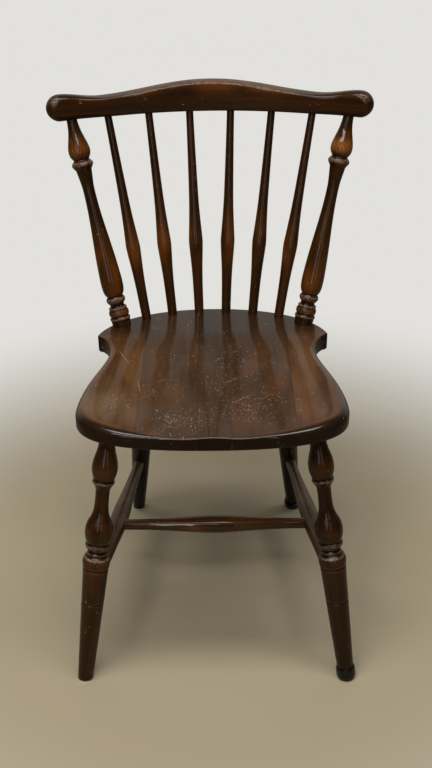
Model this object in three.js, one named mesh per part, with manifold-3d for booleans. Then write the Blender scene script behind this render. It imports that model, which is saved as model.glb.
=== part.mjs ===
// Spindle back chair: a saddled plank seat glued up from five boards, four turned legs held by
// an H of three stretchers, two turned back posts and six spindles under a bowed crest rail.
// Every joint is a round tenon in a blind socket. The two right-hand legs stand in rubber tips.
// Millimetres, +Z up, the front of the seat towards -Y. Left and right are those of someone who
// faces the chair, so +X is on the right.

import * as THREE from 'three';
import { mergeVertices, toCreasedNormals } from 'three/addons/utils/BufferGeometryUtils.js';
import Module from 'manifold-3d';

const wasm = await Module();
wasm.setup();

// Clearances
const jointGap = 0.3; // round a tenon, past its end and under a shoulder
const overrun = 6; // how far a cutting solid runs past the face that it cuts

// Seat
const seatHeight = 450; // top of the flat deck at the back
const seatThickness = 32;
const seatHalfWidth = 207;
const seatDepth = 410;
const saddleDepth = 10; // deepest hollow below the deck
const pommelHeight = 4.5; // ridge between the thighs, above the hollow
const pommelHalfWidth = 22;
const deckDepth = 86; // flat deck, from the back edge to where the hollow starts
const saddleRun = 95; // length over which the hollow reaches its depth
const rimRoll = 15; // width of the rolled rim along the sides
const rimDrop = 8; // how far that rim rolls down
const frontRoll = 5; // the tighter rim along the front edge
const deckEase = 3; // eased edge round the back
const undersideEase = 6; // rounded lower edge
const innerRingShares = [0.88, 0.68, 0.46, 0.23]; // rings of the seat's upper face, from the rim in
const seamPlaces = [-112.5, -23.6, 28.5, 124.5]; // glue lines between the five boards, along X

// Outline of the right half of the seat as Bezier runs, from the middle of the back round to the
// middle of the front. Each point is a share of the half width and a share of the depth.
const seatOutlineShares = [
  [[0, 0.5], [0.52, 0.5], [0.864, 0.388], [0.932, 0.261]], // back edge round to the ear
  [[0.932, 0.261], [0.86, 0.24], [0.815, 0.185], [0.82, 0.128]], // cove under the ear
  [[0.82, 0.128], [0.82, 0.043], [0.995, -0.145], [0.995, -0.303]], // side, flaring forward
  [[0.995, -0.303], [0.995, -0.457], [0.58, -0.5], [0, -0.5]], // front corner and front edge
];

// Legs: where each axis leaves the underside of the seat and where it meets the floor
const legRadius = 21.9; // fullest part of a front leg
const rearLegRadius = 17.5;
const legTopRadius = 12.4; // plain end that runs up into the seat
const legTenonLength = 21;
const frontTop = { x: 156, y: -149 };
const frontFoot = { x: 211, y: -229 };
const rearTop = { x: 114, y: 69 };
const rearFoot = { x: 152.5, y: 238 };

// Rubber tips of the right-hand legs
const tipRadius = 15.5;
const tipHeight = 19;
const tipFloor = 4; // rubber under the end of the leg

// Stretchers
const stretcherHeight = 155;
const stretcherRadius = 15.3; // at the swelling in the middle
const stretcherEndRadius = 9.2;
const sideReach = 6; // how far a side stretcher runs past the axis of its leg
const centreReach = 2; // how far the centre stretcher runs past the axis of a side stretcher
const centreShare = 0.46; // place of the centre stretcher along the side ones, from the front

// Back: a row of holes on an arc in the deck and another under the crest rail
const crestHeight = 786; // underside of the crest rail
const crestSetback = 75; // how far the crest rail lies behind the row of holes in the seat
const seatRowRadius = 296;
const seatRowInset = 12.4; // from the back edge of the seat to the row, in the middle
const seatRowSpacing = 46.8;
const crestRadius = 548; // bow of the crest rail, to the middle of its thickness
const crestRowSpacing = 68;
const postRowPlace = 231; // a back post along the bow, from the middle
const spindleCount = 6;
const postRadius = 18.5; // fullest part of a back post
const postBaseTenonRadius = 9.5;
const postBaseTenonLength = 22;
const postTopTenonRadius = 7;
const postTopTenonLength = 15;
const spindleRadius = 11.9; // at the swelling
const spindleTenonLength = 17;

// Crest rail
const crestThickness = 27;
const crestRise = 48.2; // height of the rail in the middle
const crestWaist = 31.7; // height at the dips
const crestWaistPlace = 175; // the dips along the bow, from the middle
const crestEarRadius = 21.1; // round ends
const crestEarPlace = 250;
const crestEase = 4.5; // eased edges

// Turned outlines. A point is a share of the piece's length and a share of its radius. The points
// of one run lie on a smooth curve, and the runs meet at crisp lines.
const frontLegShares = [
  [[0, 0.557], [0.163, 0.69], [0.33, 0.817]], // long taper up from the foot
  [[0.3325, 0.779]], // bottom of a cut line
  [[0.335, 0.822], [0.408, 0.872], [0.471, 0.927]],
  [[0.474, 0.872]], // bottom of the second cut line
  [[0.477, 0.945], [0.496, 0.986], [0.509, 0.963], [0.519, 0.868], [0.526, 0.694]], // shoulder
  [[0.526, 0.694], [0.532, 0.726], [0.538, 0.648]], // small bead
  [[0.541, 0.612], [0.544, 0.64]], // undercut
  [[0.544, 0.64], [0.551, 0.758], [0.562, 0.863], [0.574, 0.849]], // bead
  [[0.577, 0.831], [0.596, 0.954], [0.613, 1], [0.636, 0.977], [0.656, 0.872], [0.676, 0.69],
    [0.696, 0.562], [0.716, 0.507], [0.75, 0.484], [0.785, 0.495]], // lower vase and its neck
  [[0.785, 0.495], [0.798, 0.594], [0.807, 0.7], [0.816, 0.776], [0.825, 0.763]], // ring
  [[0.828, 0.735], [0.84, 0.817], [0.853, 0.877], [0.868, 0.904], [0.891, 0.863], [0.91, 0.776],
    [0.929, 0.667], [0.951, 0.589], [0.972, 0.566]], // upper vase
];
const rearLegShares = [
  [[0, 0.646], [0.22, 0.834], [0.42, 0.971], [0.52, 1], [0.66, 0.937], [0.84, 0.777], [0.95, 0.709]],
];
const postShares = [
  [[0, 0.84], [0.026, 0.892]], // base
  [[0.029, 0.935], [0.036, 0.935]], // fillet
  [[0.043, 0.811], [0.051, 0.903], [0.061, 0.93], [0.07, 0.897], [0.078, 0.811]], // lower bead
  [[0.082, 0.827], [0.087, 0.838], [0.09, 0.811]], // thin ring
  [[0.092, 0.681], [0.098, 0.632], [0.107, 0.681]], // cove
  [[0.107, 0.681], [0.117, 0.832], [0.128, 0.876], [0.137, 0.816], [0.143, 0.724]], // upper bead
  [[0.145, 0.714], [0.154, 0.832], [0.165, 0.914], [0.182, 0.973], [0.217, 1], [0.256, 0.976],
    [0.336, 0.892], [0.416, 0.776], [0.494, 0.654], [0.572, 0.559], [0.65, 0.519], [0.687, 0.535],
    [0.725, 0.611], [0.764, 0.703]], // long baluster
  [[0.764, 0.703], [0.784, 0.941]], // collar, sharp below and round above
  [[0.784, 0.941], [0.789, 0.962], [0.798, 0.908], [0.807, 0.757], [0.812, 0.686]],
  [[0.812, 0.686], [0.819, 0.778], [0.833, 0.914], [0.852, 0.968], [0.873, 0.919], [0.897, 0.805],
    [0.92, 0.681], [0.943, 0.573], [0.98, 0.476], [1, 0.465]], // vase and neck
];
const spindleShares = [
  [[0, 0.664], [0.04, 0.672], [0.165, 0.723], [0.247, 0.815], [0.327, 0.958], [0.367, 1],
    [0.407, 0.933], [0.487, 0.79], [0.566, 0.69], [0.76, 0.58], [0.948, 0.517], [1, 0.513]],
];
// From the end of a stretcher to its middle. The radius share runs between the two radii.
const stretcherShares = [
  [0.25, 0], [0.4, 0.13], [0.55, 0.36], [0.7, 0.57], [0.85, 0.82], [0.94, 0.96], [1, 1],
];
// From the floor to the rim of a rubber tip
const tipShares = [
  [-0.42, 0.6], [-0.16, 0.8], [0.05, 0.925], [0.26, 0.985], [0.6, 1], [0.9, 0.98], [1, 0.94],
];

// Fineness
const turningSides = 14;
const spindleSides = 10;
const stretcherSides = 12;
const socketSides = 16;
const seatSteps = 8; // points on each run of the seat outline
const crestSteps = 7; // points on each run of the crest outline

const stain = { seat: 0x4b2e20, turned: 0x3f2114, crest: 0x3a1e12, rubber: 0x141312 };
const wood = (colour) => new THREE.MeshStandardMaterial({ color: colour, roughness: 0.38, metalness: 0 });
const rubber = () => new THREE.MeshStandardMaterial({ color: stain.rubber, roughness: 0.7, metalness: 0 });

const up = new THREE.Vector3(0, 1, 0); // a turned piece is made along Y, then laid along its axis
const seatBackEdge = seatDepth / 2;
const seatUnderside = seatHeight - seatThickness;
const bothSides = [-1, 1]; // left and right

// A place that carries a turned piece from one point towards another
function along(from, to) {
  const axis = to.clone().sub(from).normalize();
  const turn = new THREE.Quaternion().setFromUnitVectors(up, axis);
  return new THREE.Matrix4().compose(from, turn, new THREE.Vector3(1, 1, 1));
}

const level = (z) => new THREE.Matrix4().makeTranslation(0, 0, z);

// A closed geometry, moved to its place, as a solid for joining and cutting
function solid(geometry, place = new THREE.Matrix4()) {
  const bare = geometry.clone().applyMatrix4(place);
  bare.deleteAttribute('normal');
  bare.deleteAttribute('uv');
  const merged = mergeVertices(bare, jointGap / 1000);
  const index = merged.index.array;
  const corners = [];
  for (let i = 0; i < index.length; i += 3) {
    const [a, b, c] = [index[i], index[i + 1], index[i + 2]];
    if (a !== b && b !== c && c !== a) corners.push(a, b, c);
  }
  return new wasm.Manifold(new wasm.Mesh({
    numProp: 3,
    vertProperties: new Float32Array(merged.attributes.position.array),
    triVerts: new Uint32Array(corners),
  }));
}

// A named mesh from a solid, its geometry kept in the frame of its place
function piece(name, body, material, place = new THREE.Matrix4()) {
  const data = body.getMesh();
  const geometry = new THREE.BufferGeometry();
  geometry.setAttribute('position', new THREE.BufferAttribute(data.vertProperties, 3));
  geometry.setIndex(new THREE.BufferAttribute(data.triVerts, 1));
  geometry.applyMatrix4(place.clone().invert());
  const mesh = new THREE.Mesh(toCreasedNormals(geometry), material);
  mesh.name = name;
  place.decompose(mesh.position, mesh.quaternion, mesh.scale);
  return mesh;
}

// The points of a turned outline, bottom to top, without the two ends on the axis
function turnedPoints(runs, length, radius) {
  const points = [];
  for (const run of runs) {
    const knots = run.map(([height, width]) => new THREE.Vector2(width * radius, height * length));
    for (const knot of knots) {
      const last = points.at(-1);
      if (!last || !last.equals(knot)) points.push(knot);
    }
  }
  return points;
}

// A turned piece: its outline closed on the axis at both ends
function lathe(points, sides) {
  const closed = [new THREE.Vector2(0, points[0].y), ...points, new THREE.Vector2(0, points.at(-1).y)];
  return new THREE.LatheGeometry(closed, sides);
}

// A plain round tenon or the cut for its socket, from one height on the axis to another
function round(radius, from, to) {
  return lathe([new THREE.Vector2(radius, from), new THREE.Vector2(radius, to)], socketSides);
}

// Everything under a level, as a cutting solid
function below(z) {
  const span = seatHeight * 2;
  return solid(new THREE.BoxGeometry(span, span, span), level(z - span / 2));
}

// Everything over a level
function above(z) {
  const span = seatHeight * 2;
  return solid(new THREE.BoxGeometry(span, span, span), level(z + span / 2));
}

// The faces that join each ring of points to the next
function walls(rings) {
  const count = rings[0].length;
  const faces = [];
  for (let r = 0; r < rings.length - 1; r++) {
    for (let i = 0; i < count; i++) {
      const j = (i + 1) % count;
      const [a, b, c, d] = [r * count + i, r * count + j, (r + 1) * count + j, (r + 1) * count + i];
      faces.push(a, b, c, a, c, d);
    }
  }
  return faces;
}

function shell(vertices, faces) {
  const geometry = new THREE.BufferGeometry();
  const numbers = vertices.flatMap((v) => [v.x, v.y, v.z]);
  geometry.setAttribute('position', new THREE.Float32BufferAttribute(numbers, 3));
  geometry.setIndex(faces);
  return geometry;
}

// Rings closed at both ends by a fan round a centre
function fanned(rings, firstCentre, lastCentre) {
  const count = rings[0].length;
  const vertices = [...rings.flat(), firstCentre, lastCentre];
  const faces = walls(rings);
  const [first, last] = [vertices.length - 2, vertices.length - 1];
  const top = (rings.length - 1) * count;
  for (let i = 0; i < count; i++) {
    const j = (i + 1) % count;
    faces.push(first, j, i, last, top + i, top + j);
  }
  return shell(vertices, faces);
}

// Rings closed at both ends by strips across them, from one tip to the other. Both halves of a
// ring have as many points.
function stripped(rings, tip) {
  const count = rings[0].length;
  const faces = walls(rings);
  const close = (base, turned) => {
    const at = (step) => base + (tip + step + count) % count;
    for (let k = 0; k < count / 2; k++) {
      const corners = [at(-k), at(-k - 1), at(k + 1), at(k)];
      for (const [a, b, c] of [[0, 1, 2], [0, 2, 3]]) {
        const triangle = [corners[a], corners[b], corners[c]];
        if (turned) triangle.reverse();
        if (new Set(triangle).size === triangle.length) faces.push(...triangle);
      }
    }
  };
  close(0, false);
  close((rings.length - 1) * count, true);
  return shell(rings.flat(), faces);
}

const bezier = (points) => new THREE.CubicBezierCurve(...points.map(([x, y]) => new THREE.Vector2(x, y)));
const smooth = (low, high, value) => THREE.MathUtils.smoothstep(value, low, high);

// Seat

// The seat outline, counter-clockwise seen from above, starting at the middle of the back
function seatOutline() {
  const toSize = ([x, y]) => [x * seatHalfWidth, y * seatDepth];
  const runs = seatOutlineShares.map((run) => bezier(run.map(toSize)));
  const right = runs.flatMap((run) => run.getPoints(seatSteps).slice(0, -1));
  right.push(new THREE.Vector2(0, -seatBackEdge));
  const left = right.slice(1, -1).map((p) => new THREE.Vector2(-p.x, p.y)).reverse();
  return [...right, ...left].reverse();
}

// Depth of the saddle below the deck: two hollows with a ridge that rises towards the front
function saddle(x, y) {
  const bowl = Math.max(0, 1 - (x / seatHalfWidth) ** 2) ** 1.8;
  const deckEnd = seatBackEdge - deckDepth;
  const start = 1 - smooth(deckEnd - saddleRun, deckEnd, y);
  const ridge = Math.exp(-((x / pommelHalfWidth) ** 2)) * (1 - smooth(-seatBackEdge, 0, y));
  return saddleDepth * bowl * start - pommelHeight * ridge * start;
}

// Width of the rolled rim at a point of the outline: wide on the sides, tight in front and behind
function rimWidth(point) {
  const waist = seatOutlineShares[2][0][1] * seatDepth;
  const widest = seatOutlineShares[3][0][1] * seatDepth;
  const behind = smooth(waist, seatOutlineShares[1][0][1] * seatDepth, point.y);
  const ahead = 1 - smooth(-seatBackEdge, widest, point.y);
  const side = THREE.MathUtils.lerp(rimRoll, frontRoll, ahead);
  return THREE.MathUtils.lerp(side, deckEase, behind);
}

// One ring of the seat: the outline moved in by a width that may vary, at a height that may vary
function seatRing(outline, inset, height) {
  const count = outline.length;
  return outline.map((point, i) => {
    const before = outline[(i + count - 1) % count];
    const after = outline[(i + 1) % count];
    const inward = new THREE.Vector2(before.y - after.y, after.x - before.x).normalize();
    const place = point.clone().addScaledVector(inward, inset(point));
    return new THREE.Vector3(place.x, place.y, height(point, place));
  });
}

function seatBlank() {
  const outline = seatOutline();
  const rimFall = (point) => rimWidth(point) * rimDrop / rimRoll;
  const rings = [
    seatRing(outline, () => undersideEase, () => -seatThickness),
    seatRing(outline, () => undersideEase * 0.3, () => -seatThickness + undersideEase * 0.3),
    seatRing(outline, () => 0, () => -seatThickness + undersideEase),
  ];
  const quarterTurns = [0, 1 / 3, 2 / 3, 1].map((share) => share * Math.PI / 2);
  for (const turn of quarterTurns) {
    const inset = (point) => rimWidth(point) * (1 - Math.cos(turn));
    const height = (point, place) => -saddle(place.x, place.y) - rimFall(point) * (1 - Math.sin(turn));
    rings.push(seatRing(outline, inset, height));
  }
  const rim = rings.at(-1);
  for (const share of innerRingShares) {
    const inner = rim.map((p) => p.clone().multiplyScalar(share));
    rings.push(inner.map((p) => new THREE.Vector3(p.x, p.y, -saddle(p.x, p.y))));
  }
  return fanned(rings, new THREE.Vector3(0, 0, -seatThickness), new THREE.Vector3(0, 0, -saddle(0, 0)));
}

// Axes of the undercarriage, for one side: -1 or 1
const legTop = (top, side) => new THREE.Vector3(side * top.x, top.y, seatUnderside);
const legFoot = (foot, side) => new THREE.Vector3(side * foot.x, foot.y, 0);
const frontAxis = (side) => [legFoot(frontFoot, side), legTop(frontTop, side)];
const rearAxis = (side) => [legFoot(rearFoot, side), legTop(rearTop, side)];
const atHeight = ([foot, top], z) => foot.clone().lerp(top, z / seatUnderside);
const sideAxis = (side) => [frontAxis(side), rearAxis(side)].map((axis) => atHeight(axis, stretcherHeight));
const centreEnd = (side) => sideAxis(side)[0].lerp(sideAxis(side)[1], centreShare);

// Axes of the back
const rowPlace = (radius, arc, apex, z) => new THREE.Vector3(
  radius * Math.sin(arc / radius), apex - radius + radius * Math.cos(arc / radius), z);
const seatRowApex = seatBackEdge - seatRowInset;
const crestApex = seatRowApex + crestSetback;
const seatRow = (arc) => rowPlace(seatRowRadius, arc, seatRowApex, seatHeight);
const crestRow = (arc) => rowPlace(crestRadius, arc, crestApex, crestHeight);
const spindleSteps = Array.from({ length: spindleCount }, (_, i) => i - (spindleCount - 1) / 2);
const spindleAxis = (step) => [seatRow(step * seatRowSpacing), crestRow(step * crestRowSpacing)];
const postAxis = (side) => [
  seatRow(side * (spindleCount + 1) / 2 * seatRowSpacing), crestRow(side * postRowPlace)];
const lengthOf = ([from, to]) => from.distanceTo(to);
const reversed = ([from, to]) => [to, from];

// Cuts for the sockets that meet one face, each along its own axis
function sockets(axes, radius, depth) {
  return axes.map((axis) => solid(round(radius + jointGap, -depth - jointGap, overrun), along(...axis)));
}

function seatSolid() {
  const cuts = [
    ...sockets(bothSides.map((side) => reversed(frontAxis(side))), legTopRadius, legTenonLength),
    ...sockets(bothSides.map((side) => reversed(rearAxis(side))), legTopRadius, legTenonLength),
    ...sockets(bothSides.map(postAxis), postBaseTenonRadius, postBaseTenonLength),
    ...sockets(spindleSteps.map(spindleAxis), spindleRadius * spindleShares[0][0][1], spindleTenonLength),
  ];
  return cuts.reduce((body, cut) => body.subtract(cut), solid(seatBlank(), level(seatHeight)));
}

// The boards, cut from the whole seat at the glue lines
function seatBoards() {
  const whole = seatSolid();
  const edges = [-seatHalfWidth - overrun, ...seamPlaces, seatHalfWidth + overrun];
  const boards = new THREE.Group();
  for (let i = 0; i < edges.length - 1; i++) {
    const width = edges[i + 1] - edges[i];
    const block = new THREE.BoxGeometry(width, seatDepth + overrun * 2, seatThickness + overrun * 2);
    const middle = seatHeight - seatThickness / 2;
    const place = new THREE.Matrix4().makeTranslation(edges[i] + width / 2, 0, middle);
    const board = whole.intersect(solid(block, place));
    boards.add(piece(`seat_board_${i + 1}`, board, wood(stain.seat), level(seatHeight)));
  }
  return boards;
}

// Undercarriage

// A leg's outline with its foot run on past the floor and its plain end run up into the seat
function legPoints(shares, length, radius) {
  const points = turnedPoints(shares, length, radius);
  const foot = points[0];
  points.unshift(new THREE.Vector2(foot.x, -foot.x));
  const tenon = [length, length + legTenonLength].map((height) => new THREE.Vector2(legTopRadius, height));
  return [...points, ...tenon];
}

function leg(name, axis, points, tipped, stretcherAxis) {
  const place = along(...axis);
  const cut = round(stretcherEndRadius + jointGap, -sideReach - jointGap, legRadius + overrun);
  const body = solid(lathe(points, turningSides), place)
    .subtract(below(tipped ? tipFloor : 0))
    .subtract(solid(cut, along(...stretcherAxis)));
  return piece(name, body, wood(stain.turned), place);
}

// A rubber cup round the end of a leg, worn flat on the floor
function tip(name, axis, points) {
  const place = along(...axis);
  const outer = turnedPoints([tipShares], tipHeight, tipRadius);
  const lower = points.filter((p) => p.y < seatUnderside / 2);
  const bore = lower.map((p) => new THREE.Vector2(p.x + jointGap, p.y));
  const room = solid(lathe(bore, turningSides), place).subtract(below(tipFloor - jointGap));
  const body = solid(lathe(outer, turningSides), place).subtract(below(0)).subtract(room);
  return piece(name, body, rubber(), place);
}

// A stretcher swells from its ends to its middle
function stretcherPoints(length) {
  const swell = stretcherRadius - stretcherEndRadius;
  const half = stretcherShares.map(([run, rise]) => (
    new THREE.Vector2(stretcherEndRadius + rise * swell, run * length / 2)));
  const other = half.slice(0, -1).reverse().map((p) => new THREE.Vector2(p.x, length - p.y));
  const ends = [0, length].map((height) => new THREE.Vector2(stretcherEndRadius, height));
  return [ends[0], ...half, ...other, ends[1]];
}

function stretcher(name, [from, to], reach, cuts) {
  const run = to.clone().sub(from).setLength(reach);
  const place = along(from.clone().sub(run), to);
  const points = stretcherPoints(from.distanceTo(to) + reach * 2);
  const body = cuts.reduce((whole, cut) => whole.subtract(cut), solid(lathe(points, stretcherSides), place));
  return piece(name, body, wood(stain.turned), place);
}

function undercarriage() {
  const group = new THREE.Group();
  const hands = { [-1]: 'left', 1: 'right' };
  for (const side of bothSides) {
    const hand = hands[side];
    const tipped = side > 0;
    const [front, rear] = [frontAxis(side), rearAxis(side)];
    const frontPoints = legPoints(frontLegShares, lengthOf(front), legRadius);
    const rearPoints = legPoints(rearLegShares, lengthOf(rear), rearLegRadius);
    group.add(leg(`front_leg_${hand}`, front, frontPoints, tipped, sideAxis(side)));
    group.add(leg(`rear_leg_${hand}`, rear, rearPoints, tipped, reversed(sideAxis(side))));
    if (tipped) {
      group.add(tip(`front_tip_${hand}`, front, frontPoints));
      group.add(tip(`rear_tip_${hand}`, rear, rearPoints));
    }
    const centreSocket = solid(
      round(stretcherEndRadius + jointGap, -centreReach - jointGap, stretcherRadius + overrun),
      along(centreEnd(side), centreEnd(-side)));
    group.add(stretcher(`side_stretcher_${hand}`, sideAxis(side), sideReach, [centreSocket]));
  }
  group.add(stretcher('centre_stretcher', [centreEnd(-1), centreEnd(1)], centreReach, []));
  return group;
}

// Back

// A back post: its shoulders are cut level to meet the deck and the crest rail
function post(name, axis) {
  const place = along(...axis);
  const length = lengthOf(axis);
  const points = turnedPoints(postShares, length, postRadius);
  points.unshift(new THREE.Vector2(points[0].x, -points[0].x));
  points.push(new THREE.Vector2(points.at(-1).x, length + points.at(-1).x));
  const shaft = solid(lathe(points, turningSides), place)
    .subtract(below(seatHeight + jointGap))
    .subtract(above(crestHeight - jointGap));
  const tenons = [
    round(postBaseTenonRadius, -postBaseTenonLength, overrun),
    round(postTopTenonRadius, length - overrun, length + postTopTenonLength),
  ];
  const body = tenons.reduce((whole, tenon) => whole.add(solid(tenon, place)), shaft);
  return piece(name, body, wood(stain.turned), place);
}

// A spindle runs on at both ends, at its own end radii, into its sockets
function spindle(name, axis) {
  const length = lengthOf(axis);
  const points = turnedPoints(spindleShares, length, spindleRadius);
  points.unshift(new THREE.Vector2(points[0].x, -spindleTenonLength));
  points.push(new THREE.Vector2(points.at(-1).x, length + spindleTenonLength));
  const place = along(...axis);
  return piece(name, solid(lathe(points, spindleSides), place), wood(stain.turned), place);
}

// Face of the crest rail, from end to end along its underside and back along its top. The first
// value runs along the bow, the second is the height over the underside.
function crestOutline() {
  const earTop = crestEarRadius * 2;
  const bend = crestWaistPlace * 0.39; // length of the handles at the middle of the top edge
  const waistBend = crestWaistPlace * 0.325;
  const earRun = crestEarPlace - crestWaistPlace;
  const waist = [crestWaistPlace, crestWaist];
  const hump = [[0, crestRise], [bend, crestRise], [crestWaistPlace - waistBend, crestWaist], waist];
  const upToEar = [waist, [crestWaistPlace + earRun * 0.37, crestWaist],
    [crestEarPlace - earRun * 0.3, earTop], [crestEarPlace, earTop]];
  const top = [hump, upToEar].flatMap((run) => bezier(run).getPoints(crestSteps).slice(0, -1));
  const turns = Array.from({ length: crestSteps + 1 }, (_, i) => Math.PI / 2 * i / crestSteps);
  const earUpper = turns.map((turn) => new THREE.Vector2(
    crestEarPlace + crestEarRadius * Math.sin(turn), crestEarRadius + crestEarRadius * Math.cos(turn)));
  const upper = [...top, ...earUpper];
  const lower = upper.map((p) => {
    const past = Math.max(0, p.x - crestEarPlace);
    return new THREE.Vector2(p.x, crestEarRadius - Math.sqrt(crestEarRadius ** 2 - past ** 2));
  }).slice(0, -1);
  const right = [...lower, ...upper.reverse()];
  const left = right.slice(1, -1).map((p) => new THREE.Vector2(-p.x, p.y)).reverse();
  return [...right, ...left];
}

// A point of the rail's face, moved through its thickness and bent round the bow
function bowed(point, depth) {
  const turn = point.x / crestRadius;
  const radius = crestRadius + depth;
  const y = crestApex - crestRadius + radius * Math.cos(turn);
  return new THREE.Vector3(radius * Math.sin(turn), y, point.y);
}

function crestRing(outline, inset, depth) {
  const count = outline.length;
  return outline.map((point, i) => {
    const before = outline[(i + count - 1) % count];
    const after = outline[(i + 1) % count];
    const inward = new THREE.Vector2(before.y - after.y, after.x - before.x).normalize();
    return bowed(point.clone().addScaledVector(inward, inset), depth);
  });
}

function crestGeometry() {
  const outline = crestOutline();
  const face = crestThickness / 2;
  const slant = 1 - Math.SQRT1_2;
  const easing = [[crestEase, 0], [crestEase * slant, crestEase * slant], [0, crestEase]];
  const behind = easing.map(([inset, depth]) => crestRing(outline, inset, face - depth));
  const ahead = easing.map(([inset, depth]) => crestRing(outline, inset, depth - face)).reverse();
  return stripped([...behind, ...ahead], outline.length / 4);
}

function crestRail() {
  const spindleTopRadius = spindleRadius * spindleShares[0].at(-1)[1];
  const posts = bothSides.map((side) => reversed(postAxis(side)));
  const spindles = spindleSteps.map((step) => reversed(spindleAxis(step)));
  const cuts = [
    ...sockets(posts, postTopTenonRadius, postTopTenonLength),
    ...sockets(spindles, spindleTopRadius, spindleTenonLength),
  ];
  const blank = solid(crestGeometry(), level(crestHeight));
  const rail = cuts.reduce((body, cut) => body.subtract(cut), blank);
  return piece('crest_rail', rail, wood(stain.crest), level(crestHeight));
}

function back() {
  const group = new THREE.Group();
  group.add(post('back_post_left', postAxis(-1)));
  group.add(post('back_post_right', postAxis(1)));
  spindleSteps.forEach((step, i) => group.add(spindle(`spindle_${i + 1}`, spindleAxis(step))));
  group.add(crestRail());
  return group;
}

const chair = new THREE.Group();
chair.name = 'spindle_back_chair';
chair.add(seatBoards(), undercarriage(), back());

// The origin lies on the floor under the middle of the whole chair
const extent = new THREE.Box3().setFromObject(chair, true);
chair.position.y = -(extent.min.y + extent.max.y) / 2;

export default chair;
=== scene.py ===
# %% [markdown]
# # A stained spindle back chair
# The chair is a plank seat with turned legs below it and turned posts, plain spindles and a bowed
# rail above it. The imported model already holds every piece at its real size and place, but with
# coarse facets. This lesson rebuilds each piece from the same few sizes with a fine surface, gives
# it a worn walnut stain under lacquer, and looks at it from where the photograph was taken.

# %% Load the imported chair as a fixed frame
import math
from itertools import count

import bmesh
import bpy
from mathutils import Matrix, Vector


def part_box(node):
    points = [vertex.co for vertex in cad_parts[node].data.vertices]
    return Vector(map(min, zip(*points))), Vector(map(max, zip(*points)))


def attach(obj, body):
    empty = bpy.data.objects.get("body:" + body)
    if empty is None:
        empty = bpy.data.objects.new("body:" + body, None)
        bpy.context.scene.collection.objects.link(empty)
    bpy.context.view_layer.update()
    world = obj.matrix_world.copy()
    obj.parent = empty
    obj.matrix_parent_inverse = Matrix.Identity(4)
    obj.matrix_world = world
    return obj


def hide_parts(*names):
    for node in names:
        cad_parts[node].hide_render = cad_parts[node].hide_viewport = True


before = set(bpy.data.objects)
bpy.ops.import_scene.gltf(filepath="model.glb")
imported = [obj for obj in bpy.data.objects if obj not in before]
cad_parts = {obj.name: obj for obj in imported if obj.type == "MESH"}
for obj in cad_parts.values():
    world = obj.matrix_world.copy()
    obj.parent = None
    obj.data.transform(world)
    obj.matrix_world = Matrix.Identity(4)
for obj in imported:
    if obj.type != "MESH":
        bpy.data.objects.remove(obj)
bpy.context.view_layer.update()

# %% [markdown]
# ## Sizes
# Blender works in metres, and a chair maker works in millimetres. The sizes below are the maker's,
# and one factor turns them to metres where a mesh is made. The origin lies on the floor under the
# middle of the whole chair. The seat is not centred there, so its place is read from the frame: the
# front edge of the middle board tells how far the seat has moved.

# %% Sizes of the seat and the places of the joints, in millimetres
MM = 0.001
SEAT_HEIGHT = 450
SEAT_THICKNESS = 32
SEAT_HALF_WIDTH = 207
SEAT_DEPTH = 410
SEAT_UNDERSIDE = SEAT_HEIGHT - SEAT_THICKNESS
CREST_HEIGHT = 786
SEAT_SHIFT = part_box("seat_board_3")[0].y / MM + SEAT_DEPTH / 2
TUCK = 6  # how far the end of a turned piece runs into what carries it
HANDS = {"left": -1, "right": 1}
print("seat shifted by", round(SEAT_SHIFT, 2), "mm")

# %% [markdown]
# ## Camera
# The photograph is 432 pixels wide and 768 high, taken from standing height in front of the chair.
# A camera fitted to the feet, the seat and the rail gives a focal length of 1100 pixels, a pitch of
# 29.7 degrees downwards and a small turn and roll. Blender's lens is that focal length as a share
# of the picture's long side, times the width of the sensor. The camera is placed by its own three
# directions, because that is what the fit gave. Blender keeps a thing's data and its place apart,
# so one function makes the object that puts some data into the scene.

# %% Put the camera where the photograph was taken
PICTURE_WIDTH, PICTURE_HEIGHT = 432, 768
FOCAL_PIXELS = 1100
PRINCIPAL_X, PRINCIPAL_Y = 208.9, 380.9
CAMERA_PLACE = Vector((15.5, -1537.2 + SEAT_SHIFT, 1298.6))
TURN, PITCH, ROLL = (math.radians(angle) for angle in (-0.8, 29.73, -1))


def placed(name, data):
    thing = bpy.data.objects.new(name, data)
    bpy.context.scene.collection.objects.link(thing)
    return thing


ahead = Vector((math.sin(TURN) * math.cos(PITCH),
                math.cos(TURN) * math.cos(PITCH),
                -math.sin(PITCH)))
level_right = Vector((math.cos(TURN), -math.sin(TURN), 0))
level_up = level_right.cross(ahead)
right = level_right * math.cos(ROLL) + level_up * math.sin(ROLL)
up = level_up * math.cos(ROLL) - level_right * math.sin(ROLL)

lens = bpy.data.cameras.new("camera")
lens.sensor_width = 36
lens.lens = FOCAL_PIXELS / PICTURE_HEIGHT * lens.sensor_width
lens.shift_x = (PICTURE_WIDTH / 2 - PRINCIPAL_X) / PICTURE_HEIGHT
lens.shift_y = (PRINCIPAL_Y - PICTURE_HEIGHT / 2) / PICTURE_HEIGHT
camera = placed("camera", lens)
facing = Matrix((right, up, -ahead)).transposed().to_4x4()
camera.matrix_world = Matrix.Translation(CAMERA_PLACE * MM) @ facing
bpy.context.scene.camera = camera
print("lens:", round(lens.lens, 2), "mm")

# %% [markdown]
# ## Colours and nodes
# Colours are picked as sRGB hex values, the way a colour picker shows them, and shaders want linear
# light, so one function turns the first into the second. Another adds a node to a material, sets
# it, links its inputs and hands back an output. Every finish below is made with it, on a node tree
# that has been emptied first.

# %% A colour function and a node function
def linear(colour):
    channels = [int(colour[i:i + 2], 16) / 255 for i in (1, 3, 5)]
    return (*[c / 12.92 if c <= 0.04045 else ((c + 0.055) / 1.055) ** 2.4 for c in channels], 1)


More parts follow.
